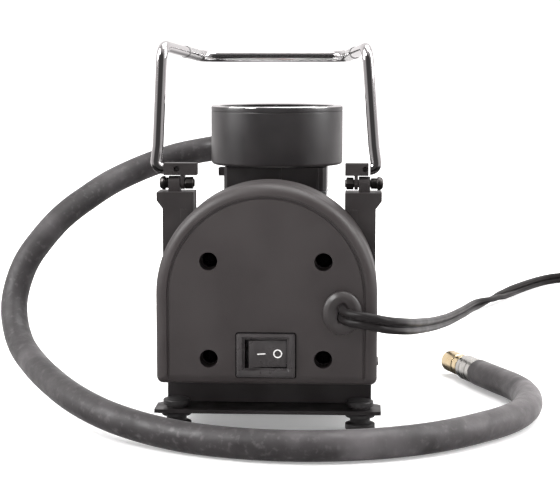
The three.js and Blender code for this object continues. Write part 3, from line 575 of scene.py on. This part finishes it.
HOSE_ROUTE = [
    past_elbow(FERRULE_END + 0.3),
    past_elbow(FERRULE_END + 6),
    (-3.8, 139, 109.4), (-11, 147, 111.7), (-20, 153.6, 113.2), (-30.5, 158, 113.2), (-42, 160, 111.4),
    (-55, 158, 108.8), (-69, 154.5, 104.2), (-80, 149, 99.6), (-89, 142, 95), (-97.8, 133.5, 89),
    (-105, 126, 83.6), (-111.5, 119.5, 77.3), (-118, 112.5, 69), (-123, 106.5, 61), (-126.4, 101, 51.2),
    (-127.4, 94.5, 41), (-125, 86, 32), (-119.6, 74, 24.6), (-110, 57, 19.2), (-97.6, 35, 15.8),
    (-82.5, 11.5, 13), (-65.5, -6, 10), (-48, -17.2, 7.6), (-31.2, -26, 6.5), (-16, -32.4, 6.4),
    (0, -36.4, 6.4), (16, -37.6, 6.4), (32, -36, 6.4), (48, -31.8, 6.4), (63.8, -24.4, 6.4),
    (77.4, -14.8, 6.4), (89.4, -3.2, 6.4), (98.6, 7, 6.4), (106.4, 19, 6.4), (112, 33, 6.4),
    (114.8, 48.5, 6.4), (114.4, 65, 6.4), (110.6, 80, 6.4), (106, 90.5, 6.4), (101.8, 100.2, 6.4),
    (CHUCK["x"], CHUCK["y"], CHUCK["z"]),
]

LEAD_ROUTE = [
    (31.9, 3, 54.2), (32, -4.6, 54.4), (32.5, -10.4, 54.2), (36, -16.4, 54), (42.9, -19, 53.4),
    (49.6, -16, 51.6), (55.8, -5, 49.2), (60.9, 20, 44.7), (66.7, 65, 37.2), (74, 125, 27.4),
    (81.6, 180, 19.1), (90.3, 235, 11.8), (100.7, 285, 7.3), (111, 329, 4.4), (120.5, 350, 3.8),
    (130, 371, 3.7), (147, 409, 3.7), (164, 440, 3.7), (173, 451.5, 3.7), (182, 459, 3.7),
    (190.5, 465.5, 3.7), (197.5, 473.5, 3.9), (203, 483, 4.5),
]

TAIL_ROUTE = [(290.8, 521.3, 12), (302, 512.5, 11.8), (310.8, 500, 11.2), (316.2, 487, 10.9),
              (318, 471, 10.8)]

# How far the lead's wide side has turned from upright, in degrees, by its distance along the lead in mm.
LEAD_TWIST = [(0, 0), (12, 2), (32, 18), (110, 12), (260, 4), (390, 8), (425, 75), (445, 120), (475, 172),
              (520, 180)]


def coil_route():
    """Two rows of turns, one inside the next: inwards along the floor, then back out on top of them."""
    first, last = math.radians(163), math.radians(63)
    per_row = 4.5 * 2 * math.pi
    total = 9 * 2 * math.pi + (first - last)
    route = []
    steps = int(9.3 * 36)
    for k in range(steps + 1):
        swept = total * k / steps
        a = first - swept
        low, high = COIL["rows"]
        span = COIL["outer"] - COIL["inner"]
        if swept < per_row:
            radius = COIL["outer"] - span * swept / per_row
            height = low
        else:
            radius = COIL["inner"] + span * min((swept - per_row) / (total - per_row), 1)
            height = high
        climb = (swept - per_row) / (0.35 * 2 * math.pi)
        if -1 < climb < 1:
            height = low + (high - low) * (0.5 + 0.5 * math.sin(climb * math.pi / 2))
        route.append((COIL["x"] + radius * math.cos(a), COIL["y"] + radius * math.sin(a), height))
    return route


def twin_section(count=20):
    """The outline of a figure-of-eight lead: two round wires with a narrow web between them."""
    r = LEAD_THICK / 2 * MM
    offset = (LEAD_WIDE - LEAD_THICK) / 2 * MM
    waist = math.radians(13)
    half = [waist + (2 * math.pi - 2 * waist) * k / (count - 1) for k in range(count)]
    upper = [(offset + r * math.cos(math.pi + a), r * math.sin(math.pi + a)) for a in half]
    lower = [(-x, -y) for x, y in upper]
    return upper + lower


def twist_at(distance):
    for (s0, a0), (s1, a1) in zip(LEAD_TWIST, LEAD_TWIST[1:]):
        if distance <= s1:
            t = max(0.0, (distance - s0) / (s1 - s0))
            return math.radians(a0 + (a1 - a0) * (3 * t * t - 2 * t ** 3))
    return math.radians(LEAD_TWIST[-1][1])


def upright_frames(points):
    """For the lead: the direction of its wide side at each point, upright and then turned by its twist."""
    result = []
    walked = 0.0
    for i, point in enumerate(points):
        if i:
            walked += (point - points[i - 1]).length / MM
        tangent = (points[min(i + 1, len(points) - 1)] - points[max(i - 1, 0)]).normalized()
        up = (Vector((0, 0, 1)) - tangent * tangent.z).normalized()
        toward = tangent.cross(up)
        angle = twist_at(walked)
        result.append((tangent, up * math.cos(angle) + toward * math.sin(angle)))
    return result


def make_hose():
    points = smooth_route(HOSE_ROUTE, 4.0)
    section = ring_of(HOSE_R * MM, 32)
    hose = sweep("rubber_hose", points, section, frames_along(points), HOSE, ["air_hose"])


def make_lead():
    free = smooth_route(LEAD_ROUTE, 3.0)
    coil = [at(*p) for p in coil_route()]
    tail = smooth_route([coil_route()[-1]] + TAIL_ROUTE, 3.0)
    points = free + coil + tail[1:]
    section = twin_section()
    lead = sweep("twin_lead", points, section, upright_frames(points), CABLE,
                 ["power_lead", "lead_coil", "lead_tail"], 70.0)


def make_hose_end():
    where = place("Y", CHUCK["x"], CHUCK["y"], CHUCK["z"], CHUCK_TILT)
    profile = rounded([(0, 0.3), (5.8, 0.3), (6.1, 0.8), (6.1, 3.6), (5.9, 4.2), (6.1, 4.8), (6.1, 9.4),
                       (5.9, 10), (6.1, 10.6), (6.1, 13.7), (5.4, 14.4), (0, 14.4)], 0.45)
    turned("end_ferrule", profile, where, ZINC, ["hose_ferrule"])


def make_chuck_sleeve():
    sleeve = rounded([(2.75, 15), (4.6, 15), (5.3, 15.7), (5.3, 19), (4.9, 19.4), (4.9, 20.4), (5.3, 20.8),
                      (5.3, 31), (4.8, 31.6), (4.3, 31.6), (4.3, 22.2), (2.75, 22.2), (2.75, 15)], 0.2)
    where = place("Y", CHUCK["x"], CHUCK["y"], CHUCK["z"], CHUCK_TILT)
    turned("chuck_sleeve", sleeve, where, BRASS, ["chuck_nut"], body="chuck_nut")


def make_plug():
    """The lighter plug's turned pieces: ribbed boot, threaded-on ring and sprung tip."""
    where = place("-Y", PLUG["x"], PLUG["y"], PLUG["z"])
    boot = [(0, 0), (3.6, 0), (4.4, 0.6)]
    for k in range(5):
        h = 1.2 + 2.2 * k
        r = 4.5 + 0.22 * k
        boot += [(r, h), (r, h + 1.2), (r - 0.7, h + 1.5), (r - 0.7, h + 1.9)]
    boot += [(5.9, 12.6), (6.4, 15), (0, 15)]
    turned("boot", rounded(boot, 0.25), where, RUBBER, ["plug_boot"], 64)
    ring = rounded([(5.6, 66.3), (9.2, 66.3), (9.2, 67.2), (8.9, 67.5), (9.2, 67.8), (9.2, 71), (8.2, 74),
                    (4.2, 74), (4.2, 71.5), (5.6, 71.5), (5.6, 66.3)], 0.25)
    turned("screw_ring", ring, where, PLASTIC, ["plug_ring"], 64, "plug_ring")
    tip = rounded([(0, 60), (4.3, 60), (4.3, 69), (3.8, 70), (3.8, 77), (2.8, 79.1), (0, 79.5)], 0.5)
    turned("sprung_tip", tip, where, ZINC, ["plug_tip"], 48, "plug_tip")


make_camera()
make_hose_end()
make_plug()
make_chuck_sleeve()
make_hose()
make_lead()


# ---------------------------------------------------------------- hand-built pieces
def outline_loft(rings, lids=True):
    """A bmesh through matching outlines, each (points in x and z, y), with flat ends or joined in a ring."""
    mesh_data = bmesh.new()
    loops = [[mesh_data.verts.new(at(x, y, z)) for x, z in points] for points, y in rings]
    join_rings(mesh_data, loops if lids else loops + loops[:1])
    if lids:
        mesh_data.faces.new(loops[0])
        mesh_data.faces.new(loops[-1])
    bmesh.ops.recalc_face_normals(mesh_data, faces=mesh_data.faces)
    return mesh_data


def as_object(mesh_data, name="working"):
    mesh = bpy.data.meshes.new(name)
    mesh_data.to_mesh(mesh)
    mesh_data.free()
    return show(bpy.data.objects.new(name, mesh))


def combine(base, other, operation):
    """Adds or takes away another bmesh, by an exact boolean."""
    body = as_object(base)
    tool = as_object(other)
    step = body.modifiers.new("combine", "BOOLEAN")
    step.operation = operation
    step.object = tool
    step.solver = "EXACT"
    result = bmesh.new()
    result.from_object(body, bpy.context.evaluated_depsgraph_get())
    for leftover in (body, tool):
        bpy.data.objects.remove(leftover)
    return result


def flatten(piece):
    """Keeps the flat faces of a shown piece flat up to their edges."""
    flat = piece.modifiers.new("flat_faces", "WEIGHTED_NORMAL")
    flat.weight = 80
    flat.keep_sharp = True
    return piece


def arc(cx, cz, r, start, end, steps):
    angles = [math.radians(start + (end - start) * k / steps) for k in range(steps + 1)]
    return [(cx + r * math.cos(a), cz + r * math.sin(a)) for a in angles]


def circle(cx, cz, r, count):
    return arc(cx, cz, r, 0, 360 - 360 / count, count - 1)


def round_bar(r, y0, y1, x, z):
    return slab(circle(x, z, r, 48), y0, y1)


def bore(r, depth, x, z):
    """A round cutter from in front of the cover's face, flared a little where it enters."""
    steps = ((r + 0.3, -1), (r + 0.3, -0.01), (r + 0.09, 0.06), (r, 0.3), (r, depth))
    return outline_loft([(circle(x, z, q, 64), y) for q, y in steps])


def slab(points, y0, y1):
    return outline_loft([(points, y0), (points, y1)])


def block(x0, x1, y0, y1, z0, z1):
    return slab([(x0, z0), (x1, z0), (x1, z1), (x0, z1)], y0, y1)


COVER_R, COVER_Z, COVER_BASE, COVER_DEPTH, COVER_WALL, COVER_RIM = 46.5, 60.5, 22.5, 30.0, 2.5, 4.5


def d_outline(inset):
    half = COVER_R - inset
    low = COVER_BASE + inset
    c = max(3.0 - inset, 0.6)
    return (arc(-half + c, low + c, c, 180, 270, 6) + arc(half - c, low + c, c, 270, 360, 6)
            + arc(0, COVER_Z, half, 0, 180, 96))


def arch(outset):
    """The outline of a narrow arch on the cover's face, made wider on both sides by the outset."""
    outer, inner, low = COVER_R - 4.85 + outset, COVER_R - 5.95 - outset, COVER_BASE - 5
    return ([(outer, low)] + arc(0, COVER_Z, outer, 0, 180, 96) + [(-outer, low), (-inner, low)]
            + arc(0, COVER_Z, inner, 180, 0, 96) + [(inner, low)])


def arch_groove():
    """The line round the cover's face: two legs that run out at the bottom, joined by an arc."""
    return outline_loft([(arch(0.22), -1), (arch(0.22), -0.01), (arch(0.07), 0.05), (arch(0), 0.22),
                         (arch(-0.1), 0.8)])


def make_cover():
    rings = []
    for k in range(13):
        a = math.radians(90 * k / 12)
        rings.append((d_outline(COVER_RIM * (1 - math.sin(a))), COVER_RIM * (1 - math.cos(a))))
    rings.append((d_outline(0), COVER_DEPTH))
    cover = outline_loft(rings)
    cover = combine(cover, slab(d_outline(COVER_WALL), COVER_WALL, COVER_DEPTH + 5), "DIFFERENCE")
    places = [(s * BOLT["x"], BOLT[end]) for s in (-1, 1) for end in ("top", "low")]
    for x, z in places:
        cover = combine(cover, round_bar(5.5, 1, 12, x, z), "UNION")
    cutters = [arch_groove(), block(-10.9, 10.9, -1, 5, 27.6, 44.2), slab(oval(6.3, 7.3), -1, 5)]
    for x, z in places:
        cutters.append(bore(3.75, BOLT["head"], x, z))
        cutters.append(round_bar(2.3, -1, 13, x, z))
    for cutter in cutters:
        cover = combine(cover, cutter, "DIFFERENCE")
    flatten(finish_mesh("cover_shell", cover, COVER, ["end_cover"]))


def oval(half_x, half_z, count=64):
    return [(GROMMET["x"] + half_x * a, GROMMET["z"] + half_z * b) for a, b in circle(0, 0, 1, count)]


def lead_hole(scale, count=64):
    """The hour-glass outline of the hole that the lead comes out of, leaning a little to the right."""
    points = []
    for k in range(count):
        a = 2 * math.pi * k / count
        waist = 0.7 + 0.3 * abs(math.sin(a)) ** 0.8
        x = 2.35 * scale * waist * math.cos(a)
        z = 4.15 * scale * math.sin(a)
        points.append((GROMMET["x"] + x + 0.12 * z, GROMMET["z"] + z))
    return points


def make_grommet():
    """The rubber grommet: a rolled lip round a dished face, and an hour-glass hole for the twin lead."""
    hx, hz = GROMMET["half_x"], GROMMET["half_z"]
    rings = [
        (oval(5.9, 6.9), 2.9), (oval(5.9, 6.9), -0.2), (oval(hx - 0.1, hz - 0.1), -0.2),
        (oval(hx, hz), -0.4), (oval(hx, hz), -1.5), (oval(hx - 0.15, hz - 0.15), -1.9),
        (oval(hx - 0.5, hz - 0.5), -2.3), (oval(hx - 1.9, hz - 1.9), -3.2),
        (oval(hx - 2.2, hz - 2.2), -3.35), (oval(hx - 2.6, hz - 2.6), -3.4),
        (oval(hx - 4.6, hz - 4.2), -3.4), (lead_hole(1.12), -3.38), (lead_hole(1.0), -3.1),
        (lead_hole(1.0), 4.4), (oval(7.1, 8.1), 4.6), (oval(7.1, 8.1), 2.9),
    ]
    finish_mesh("grommet", outline_loft(rings, lids=False), VINYL, ["cable_grommet"], 50)


def cross_screw(name, profile, x, y, z, recess, arms, material, stands_for=()):
    """A turned screw along Y. Its cross recess spans recess in y, and arms gives its half sizes."""
    screw = bmesh.new()
    add_turned(screw, rounded(profile, 0.3), place("Y", x, y, z), 32)
    bmesh.ops.recalc_face_normals(screw, faces=screw.faces)
    for a, b in (arms, arms[::-1]):
        screw = combine(screw, block(x - a, x + a, *recess, z - b, z + b), "DIFFERENCE")
    finish_mesh(name, screw, material, stands_for, 30)


def make_screws():
    """The cover's screws, deep in their wells."""
    profile = [(0, 6.3), (1.4, 6.35), (2.6, 6.8), (3.3, 7.8), (3.3, 9.2), (2, 9.2), (2, 71), (1.4, 72),
               (0, 72)]
    for word, s in SIDES:
        for end in ("top", "low"):
            cross_screw(f"screw_{end}_{word}", profile, s * BOLT["x"], 0, BOLT[end], (5, 7.6), (0.42, 1.8),
                        BLACK_OXIDE, [f"cover_screw_{end}_{word}"])


def rocker_face(x):
    """How far forward of its pivot the rocker's hollow face is, at that x."""
    return -5.6 + 1.5 * (1 - (x / ROCKER["half"]) ** 2)


def make_rocker():
    half = ROCKER["half"]
    turn = Matrix.Translation(at(0, ROCKER["pivot_y"], 0)) @ Matrix.Rotation(ROCKER["tilt"], 4, "Z")

    def outline(inset):
        steps = 20
        reach = half - inset
        across = [-reach + 2 * reach * k / steps for k in range(steps + 1)]
        front = [(x, rocker_face(x) + inset) for x in across]
        front[0] = (front[0][0], front[0][1] + 0.25)
        front[-1] = (front[-1][0], front[-1][1] + 0.25)
        return front + [(half - 0.2 - inset, -2), (3.2 - inset, 2.5 - inset), (-3.2 + inset, 2.5 - inset),
                        (-half + 0.2 + inset, -2)]

    low, high = SWITCH["open_low"] + 0.35, SWITCH["open_high"] - 0.35
    layers = [(0.35, low), (0.1, low + 0.1), (0, low + 0.35),
              (0, high - 0.35), (0.1, high - 0.1), (0.35, high)]
    paddle = bmesh.new()
    loops = [[paddle.verts.new(turn @ (Vector((x, y, z)) * MM)) for x, y in outline(inset)]
             for inset, z in layers]
    join_rings(paddle, loops)
    paddle.faces.new(loops[0])
    paddle.faces.new(loops[-1])
    finish_mesh("rocker_paddle", paddle, GLOSS, ["rocker"], 32, "rocker")

    def on_face(x, z):
        return turn @ (Vector((x, rocker_face(x) - 0.03, z)) * MM)

    middle = (low + high) / 2
    ring, count = bmesh.new(), 48
    circles = [[ring.verts.new(on_face(4.3 + r * math.cos(2 * math.pi * k / count),
                                       middle + r * math.sin(2 * math.pi * k / count)))
                for k in range(count)] for r in (1.35, 1.85)]
    join_rings(ring, circles)
    finish_mesh("off_mark", ring, MARK, body="rocker")
    dash, steps = bmesh.new(), 6
    lower, upper = ([dash.verts.new(on_face(-4.3 + 3.5 * k / steps, middle + half_height))
                     for k in range(steps + 1)] for half_height in (-0.25, 0.25))
    for k in range(steps):
        dash.faces.new((lower[k], lower[k + 1], upper[k + 1], upper[k]))
    finish_mesh("on_mark", dash, MARK, body="rocker")


def make_switch_housing():
    """The switch's bezel, bevelled outside and stepped inside, on its body, and a painted shade line round
    it.
    """
    def rect(inset, corner, hx=SWITCH["half_x"], low=SWITCH["low"], high=SWITCH["high"]):
        hx, low, high = hx - inset, low + inset, high - inset
        right, left = hx - corner, -hx + corner
        above, below = high - corner, low + corner
        return (arc(right, above, corner, 0, 90, 5) + arc(left, above, corner, 90, 180, 5)
                + arc(left, below, corner, 180, 270, 5) + arc(right, below, corner, 270, 360, 5))

    def opening(outset, corner):
        return rect(-outset, corner, SWITCH["open_x"], SWITCH["open_low"], SWITCH["open_high"])

    body = rect(0, 0.5, 10.6, 28.3, 43.9)
    housing = outline_loft([
        (body, 14), (body, -0.1), (rect(0, 0.9), -0.1), (rect(0, 0.9), -1.0), (rect(0.12, 0.8), -1.35),
        (rect(0.9, 0.6), -1.75), (rect(1.1, 0.5), -1.8), (opening(1.3, 0.5), -1.8),
        (opening(1.1, 0.45), -1.72), (opening(0.35, 0.4), -0.6), (opening(0, 0.3), -0.5),
        (opening(0, 0.3), 10.8),
    ])
    flatten(finish_mesh("switch_bezel", housing, GLOSS, ["switch_housing"], 28))
    # A thin near-black frame on the cover's face round the bezel: painted shade for the shadow gap there.
    shade_line = outline_loft([
        (rect(0.05, 0.9), -0.02), (rect(-0.5, 1.2), -0.02), (rect(-0.5, 1.2), -0.16),
        (rect(-0.42, 1.1), -0.22), (rect(0.05, 0.9), -0.22),
    ], lids=False)
    finish_mesh("switch_shade_line", shade_line, PAINTED_SHADE, sharp=28)


def make_gauge():
    r, low, top, wall = GAUGE["r"], GAUGE["low"], GAUGE["top"], GAUGE["wall"]
    where = place("Z", 0, GAUGE["y"], 0)
    barrel = rounded([(3.4, low), (r - 0.7, low), (r, low + 0.9), (r, top - 2.45), (r - wall, top - 2.45),
                      (r - wall, low + wall), (3.4, low + wall), (3.4, low)], 0.5)
    turned("gauge_barrel", barrel, where, BARREL, ["gauge_case"], 144)
    rim = [(r - 0.9, top - 2.44), (r - 0.01, top - 2.44), (r - 0.01, top - 0.5), (r - 0.13, top - 0.2),
           (r - 0.4, top), (r - 1.8, top), (r - 2.1, top - 0.1), (r - 3.4, top - 0.5), (r - 3.4, top - 1.2),
           (r - 0.9, top - 1.3), (r - 0.9, top - 2.44)]
    bezel = turned("gauge_bezel", rim, where, BARREL, ["gauge_rim"], 144)
    # Upward faces take the bright metal: a painted highlight along the rim's top.
    bezel.data.materials.append(RIM_HIGHLIGHT)
    for face in bezel.data.polygons:
        face.material_index = int(face.normal.z > 0.35)
    face = r - wall - 0.3
    glass = rounded([(0, top - 3.1), (face, top - 3.1), (face, top - 1.5), (0, top - 1.5)], 0.3)
    turned("gauge_glass", glass, where, CLEAR, ["gauge_lens"], 96)
    dial = rounded([(1.3, top - 8.4), (face, top - 8.4), (face, top - 7.6), (1.3, top - 7.6),
                    (1.3, top - 8.4)], 0.15)
    turned("dial_face", dial, where, DIAL, ["gauge_dial"], 96)
    make_scale(top - 7.6)


def scale_angle(k, parts):
    """The angle of step k, where the scale's 270 degrees have that many parts."""
    return math.radians(225 - 270 * k / parts)


def make_scale(height):
    """Ticks and figures of a general pressure scale, 0 to 160."""
    ticks = bmesh.new()
    outer = SCALE["ticks"]
    for k in range(33):
        a = scale_angle(k, 32)
        long = 4.2 if k % 4 == 0 else 2.2
        wide = 0.5 if k % 4 == 0 else 0.24
        along = Vector((math.cos(a), math.sin(a), 0))
        side = Vector((-math.sin(a), math.cos(a), 0)) * wide / 2
        corners = [along * outer - side, along * outer + side, along * (outer - long) + side,
                   along * (outer - long) - side]
        ticks.faces.new([ticks.verts.new(at(c.x, GAUGE["y"] + c.y, height + 0.03)) for c in corners])
    ring = [[ticks.verts.new(at(r * math.cos(a), GAUGE["y"] + r * math.sin(a), height + 0.03))
             for r in (outer, SCALE["ring"])] for a in [scale_angle(k, 96) for k in range(97)]]
    for first, second in zip(ring, ring[1:]):
        ticks.faces.new((first[0], first[1], second[1], second[0]))
    finish_mesh("dial_ticks", ticks, PRINT)
    for k in range(9):
        a = scale_angle(k, 8)
        font = bpy.data.curves.new(f"figure_{k}", "FONT")
        font.body = str(20 * k)
        font.size = 4.4 * MM
        font.align_x = "CENTER"
        font.align_y = "CENTER"
        font.extrude = 0.02 * MM
        figure = show(bpy.data.objects.new(f"dial_figure_{k}", font))
        r = SCALE["figures"]
        figure.location = at(r * math.cos(a), GAUGE["y"] + r * math.sin(a), height + 0.04)
        font.materials.append(PRINT)
        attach(figure, "frame")


def make_foot(name, x, y):
    """A rubber foot: waisted body and sole below the plate, and a neck with a flat disc above it."""
    profile = rounded([(0, 0), (5.4, 0), (6.4, 1.2), (6.4, 3.4), (5.1, 3.9), (4.3, 4.1), (4.3, 6.3),
                       (6.3, 6.5), (6.4, 7.9), (4, 8), (4, 11), (5.7, 11.1), (5.7, 13), (5.4, 13.3),
                       (0, 13.3)], 0.2)
    turned(name.replace("foot", "rubber_foot"), profile, place("Z", x, y, 0), RUBBER, [name], 64)


def bent_wire(corners):
    """Points along straight runs whose corners are rounded: corners are (place, radius)."""
    points = [corners[0][0]]
    for (before, _), (corner, radius), (after, _) in zip(corners, corners[1:], corners[2:]):
        back = (before - corner).normalized()
        ahead = (after - corner).normalized()
        half = back.angle(ahead) / 2
        start = corner + back * (radius / math.tan(half))
        centre = corner + (back + ahead).normalized() * (radius / math.sin(half))
        turn = math.pi - 2 * half
        axis = ahead.cross(back).normalized()
        steps = max(4, math.ceil(turn / 0.12))
        for k in range(steps + 1):
            points.append(centre + Matrix.Rotation(turn * k / steps, 3, axis) @ (start - centre))
    points.append(corners[-1][0])
    return points


def wire_corner(x, y, z):
    return Vector((x + WIRE["shift"], y, z))


def wire_run(s):
    start = BAR["left"] if s < 0 else BAR["right"]
    top_x, top_z = WIRE_TOP[s]
    return [
        (Vector((s * start, HINGE_Y, BAR["z"])), 0),
        (wire_corner(s * WIRE["foot_x"], HINGE_Y, BAR["z"]), 3.2 if s < 0 else 2.6),
        (wire_corner(s * (WIRE["foot_x"] - 1.4), HINGE_Y, 121), 20),
        (wire_corner(s * top_x, HINGE_Y, top_z), 6),
        (wire_corner(s * WIRE["grip_x"], WIRE["grip_y"], WIRE["grip_z"]), 9),
    ]


def make_handle():
    points = [at(*p) for p in bent_wire(wire_run(-1) + wire_run(1)[::-1])]
    section = ring_of(WIRE["r"] * MM, 32)
    wire = sweep("handle_rod", points, section, frames_along(points), CHROME, ["handle_wire"],
                 body="handle")

    def end(s):
        run = wire_run(s)
        return run[3][0].lerp(run[4][0], SLEEVE["start"])

    grip = bent_wire([(end(-1), 0), wire_run(-1)[4], wire_run(1)[4], (end(1), 0)])
    make_sleeve([at(*p) for p in grip])


def make_sleeve(points):
    """A clear tube over the grip, closed off flat at its two ends."""
    mesh_data = bmesh.new()
    outer, inner = (swept_rings(mesh_data, points, frames_along(points), ring_of(radius * MM, 32))
                    for radius in (SLEEVE["r"], SLEEVE["bore"]))
    for rings in (outer, inner, (outer[0], inner[0]), (outer[-1], inner[-1])):
        join_rings(mesh_data, rings)
    sleeve = finish_mesh("clear_sleeve", mesh_data, SLEEVE_CLEAR, ["grip_sleeve"], 50, "handle")


def make_ribs():
    """Moulded strips down the posts' faces, and casting ribs on the front of the cylinder head."""
    strips = [(f"post_strip_{word}", PLASTIC, s * 36.9 - 0.6, 1.7, 31.2, 24.0, 93.6, 0.35)
              for word, s in SIDES]
    strips += [(f"head_rib_{k}", PAINT, x, 0.55, 67.2, 98.6, 109.1, 0.85) for k, x in enumerate((2.5, 19.5))]
    for name, material, x, half, y, low, high, depth in strips:
        face = [(x - half, low), (x + half, low), (x + half, high), (x - half, high)]
        inner = [(x - half + 0.15, low + 0.15), (x + half - 0.15, low + 0.15),
                 (x + half - 0.15, high - 0.15), (x - half + 0.15, high - 0.15)]
        strip = outline_loft([(inner, y), (face, y + 0.12), (face, y + depth)])
        finish_mesh(name, strip, material, sharp=20)


def make_case_screws():
    """Pan-head screws with cross recesses on the crankcase cover, and a round boss between them."""
    profile = [(0, 0), (3.1, 0), (3.1, 0.8), (2.3, 1.9), (0, 2.2)]
    for k, (x, z) in enumerate([(x, z) for z in (29, 63) for x in (-26.5, 26.5)]):
        cross_screw(f"case_screw_{k}", profile, x, CASE_BACK, z, (112.3, 114), (0.4, 1.6), STEEL)
    boss = rounded([(0, 0), (15.5, 0), (15.5, 0.9), (13.8, 0.9), (13.8, 0.35), (0, 0.35)], 0.2)
    turned("case_boss", boss, place("Y", 0, CASE_BACK, AXIS_Z), PAINT, segments=96)


# ---------------------------------------------------------------- CAD nodes that stay
def dress(name, material, bevel):
    """A CAD node with its own finish, smooth round faces and softened edges."""
    node = NODES[name]
    mesh = node.data
    if "custom_normal" in mesh.attributes:
        mesh.attributes.remove(mesh.attributes["custom_normal"])
    mesh.materials.clear()
    mesh.materials.append(material)
    mesh.shade_smooth()
    weld = node.modifiers.new("weld", "WELD")
    weld.merge_threshold = 1e-6
    edge = node.modifiers.new("soft_edges", "BEVEL")
    edge.width = bevel * MM
    edge.segments = 2
    edge.limit_method = "ANGLE"
    edge.angle_limit = math.radians(38)
    edge.use_clamp_overlap = True
    weighted = node.modifiers.new("flat_faces", "WEIGHTED_NORMAL")
    weighted.weight = 80


for material, bevel, names in (
    (PAINT, 0.3, ("base_plate", "base_stand", "crankcase", "crankcase_cover", "cylinder", "cylinder_head")),
    (PLASTIC, 0.35, ("post_left", "post_right", "hinge_block_left", "hinge_block_right")),
    (WEBBING, 0.4, ("coil_tie",)),
    (PLASTIC, 0.2, ("plug_body",)),
    (DARK_STEEL, 0.2, ("hinge_screw_left", "hinge_screw_right")),
    (MATT_ZINC, 0.15, ("motor_can", "motor_plate")),
    (ZINC, 0.15, ("outlet_ferrule", "plug_contact_left", "plug_contact_right")),
    (STEEL, 0.15, ("motor_bearing", "crank_disc", "valve_plate")),
    (FERRITE, 0.3, ("magnet_left", "magnet_right")),
    (COPPER, 0.1, ("armature",)),
    (ALUMINIUM, 0.2, ("connecting_rod", "piston")),
    (PTFE, 0.1, ("piston_ring",)),
    (BRASS, 0.2, ("gauge_socket", "outlet_fitting", "chuck_stem")),
    (RUBBER, 0.15, ("chuck_seal",)),
    (RED, 0.06, ("gauge_needle",)),
):
    for name in names:
        dress(name, material, bevel)

make_cover()
make_grommet()
make_screws()
make_switch_housing()
make_rocker()
make_gauge()
make_handle()
make_case_screws()
make_ribs()
for word, s in SIDES:
    for end in ("front", "back"):
        make_foot(f"foot_{end}_{word}", s * FOOT["x"], FOOT[end])


# ---------------------------------------------------------------- stage
BACKDROP_R = 25


def softbox(name, centre, target, width, height, power, mirrored=True):
    data = bpy.data.lights.new(name, "AREA")
    data.shape = "RECTANGLE"
    data.size = width
    data.size_y = height
    data.energy = power
    light = show(bpy.data.objects.new(name, data))
    light.location = centre
    light.rotation_euler = (Vector(target) - Vector(centre)).to_track_quat("-Z", "Y").to_euler()
    light.visible_glossy = mirrored
    light.visible_transmission = mirrored
    light.visible_camera = False


def glow_material(name, start, end):
    """White that takes shadows near the middle and glows as white as the backdrop further out."""
    finish = Finish(name, (0.95, 0.95, 0.95), 0.6, Specular_IOR_Level=0.2)
    coordinates = finish.node("ShaderNodeTexCoord")
    away = finish.node("ShaderNodeVectorMath", operation="LENGTH")
    finish.link(coordinates.outputs["Object"], away.inputs[0])
    glow = map_range(finish.tree, away.outputs["Value"], 0.26, 1.0, start, end, "SMOOTHSTEP")
    finish.bsdf.inputs["Emission Color"].default_value = (1, 1, 1, 1)
    finish.link(glow, finish.bsdf.inputs["Emission Strength"])
    return finish.material


def seen_only(piece):
    """Lets a backdrop show to the camera and leaves it out of the light and the reflections."""
    piece.visible_diffuse = False
    piece.visible_glossy = False
    piece.visible_transmission = False
    piece.visible_shadow = False


def make_disc(name, radius, z, material):
    """A flat round surface, a little below the floor's level so that nothing lies in its plane."""
    mesh_data = bmesh.new()
    bmesh.ops.create_circle(mesh_data, cap_ends=True, segments=96, radius=radius)
    disc = as_object(mesh_data, name)
    disc.data.materials.append(material)
    disc.location.z = z
    return disc


def make_floor():
    """A white table top, a white floor beyond it and a white dome over all."""
    table = make_disc("table_top", 0.62, -0.0002, glow_material("table_white", 0.2, 0.6))
    table.visible_glossy = False
    table.visible_transmission = False
    seen_only(make_disc("far_floor", BACKDROP_R, -0.0008, glow_material("floor_white", 0.1, 0.2)))
    shell = bmesh.new()
    bmesh.ops.create_uvsphere(shell, u_segments=48, v_segments=24, radius=BACKDROP_R)
    dome = as_object(shell, "white_dome")
    dome.data.materials.append(glow_material("dome_white", 0.1, 0.2))
    seen_only(dome)


def make_world():
    """White behind, greyer at the sides, and dark below and where the camera stands."""
    world = bpy.data.worlds.new("studio")
    world.use_nodes = True
    tree = world.node_tree
    background = tree.nodes["Background"]
    coordinates = tree.nodes.new("ShaderNodeTexCoord")
    split = tree.nodes.new("ShaderNodeSeparateXYZ")
    tree.links.new(coordinates.outputs["Generated"], split.inputs["Vector"])
    ramp = tree.nodes.new("ShaderNodeValToRGB")
    tree.links.new(map_range(tree, split.outputs["Y"], 0, 1, -1, 1), ramp.inputs["Fac"])
    stops = ramp.color_ramp.elements
    stops[0].position = 0.11
    stops[1].position = 0.78
    stops.new(0.24)
    stops.new(0.6)
    for stop, level in zip(stops, (0.07, 0.5, 0.55, 1.05)):
        stop.color = (level, 0.97 * level, 0.97 * level, 1.0)
    tree.links.new(ramp.outputs["Color"], background.inputs["Color"])
    strength = map_range(tree, split.outputs["Z"], 0.06, 1, -0.42, -0.18, "SMOOTHSTEP")
    tree.links.new(strength, background.inputs["Strength"])
    bpy.context.scene.world = world


def make_stage():
    make_floor()
    make_world()
    middle = (0, 0, 0.07)
    softbox("overhead", (0.3, 0.2, 1.4), middle, 1.2, 1.0, 16)
    softbox("left_box", (-1.1, -0.2, 0.75), middle, 0.55, 1.1, 11.5)
    softbox("left_kicker", (-0.9, -0.7, 1.05), middle, 0.4, 0.4, 11)
    softbox("right_box", (1.1, 0.0, 0.7), middle, 0.55, 1.0, 11)
    softbox("front_fill", (0.1, -1.8, 0.28), middle, 1.4, 0.5, 19, mirrored=False)
    bpy.context.scene.view_settings.view_transform = "Standard"


make_stage()
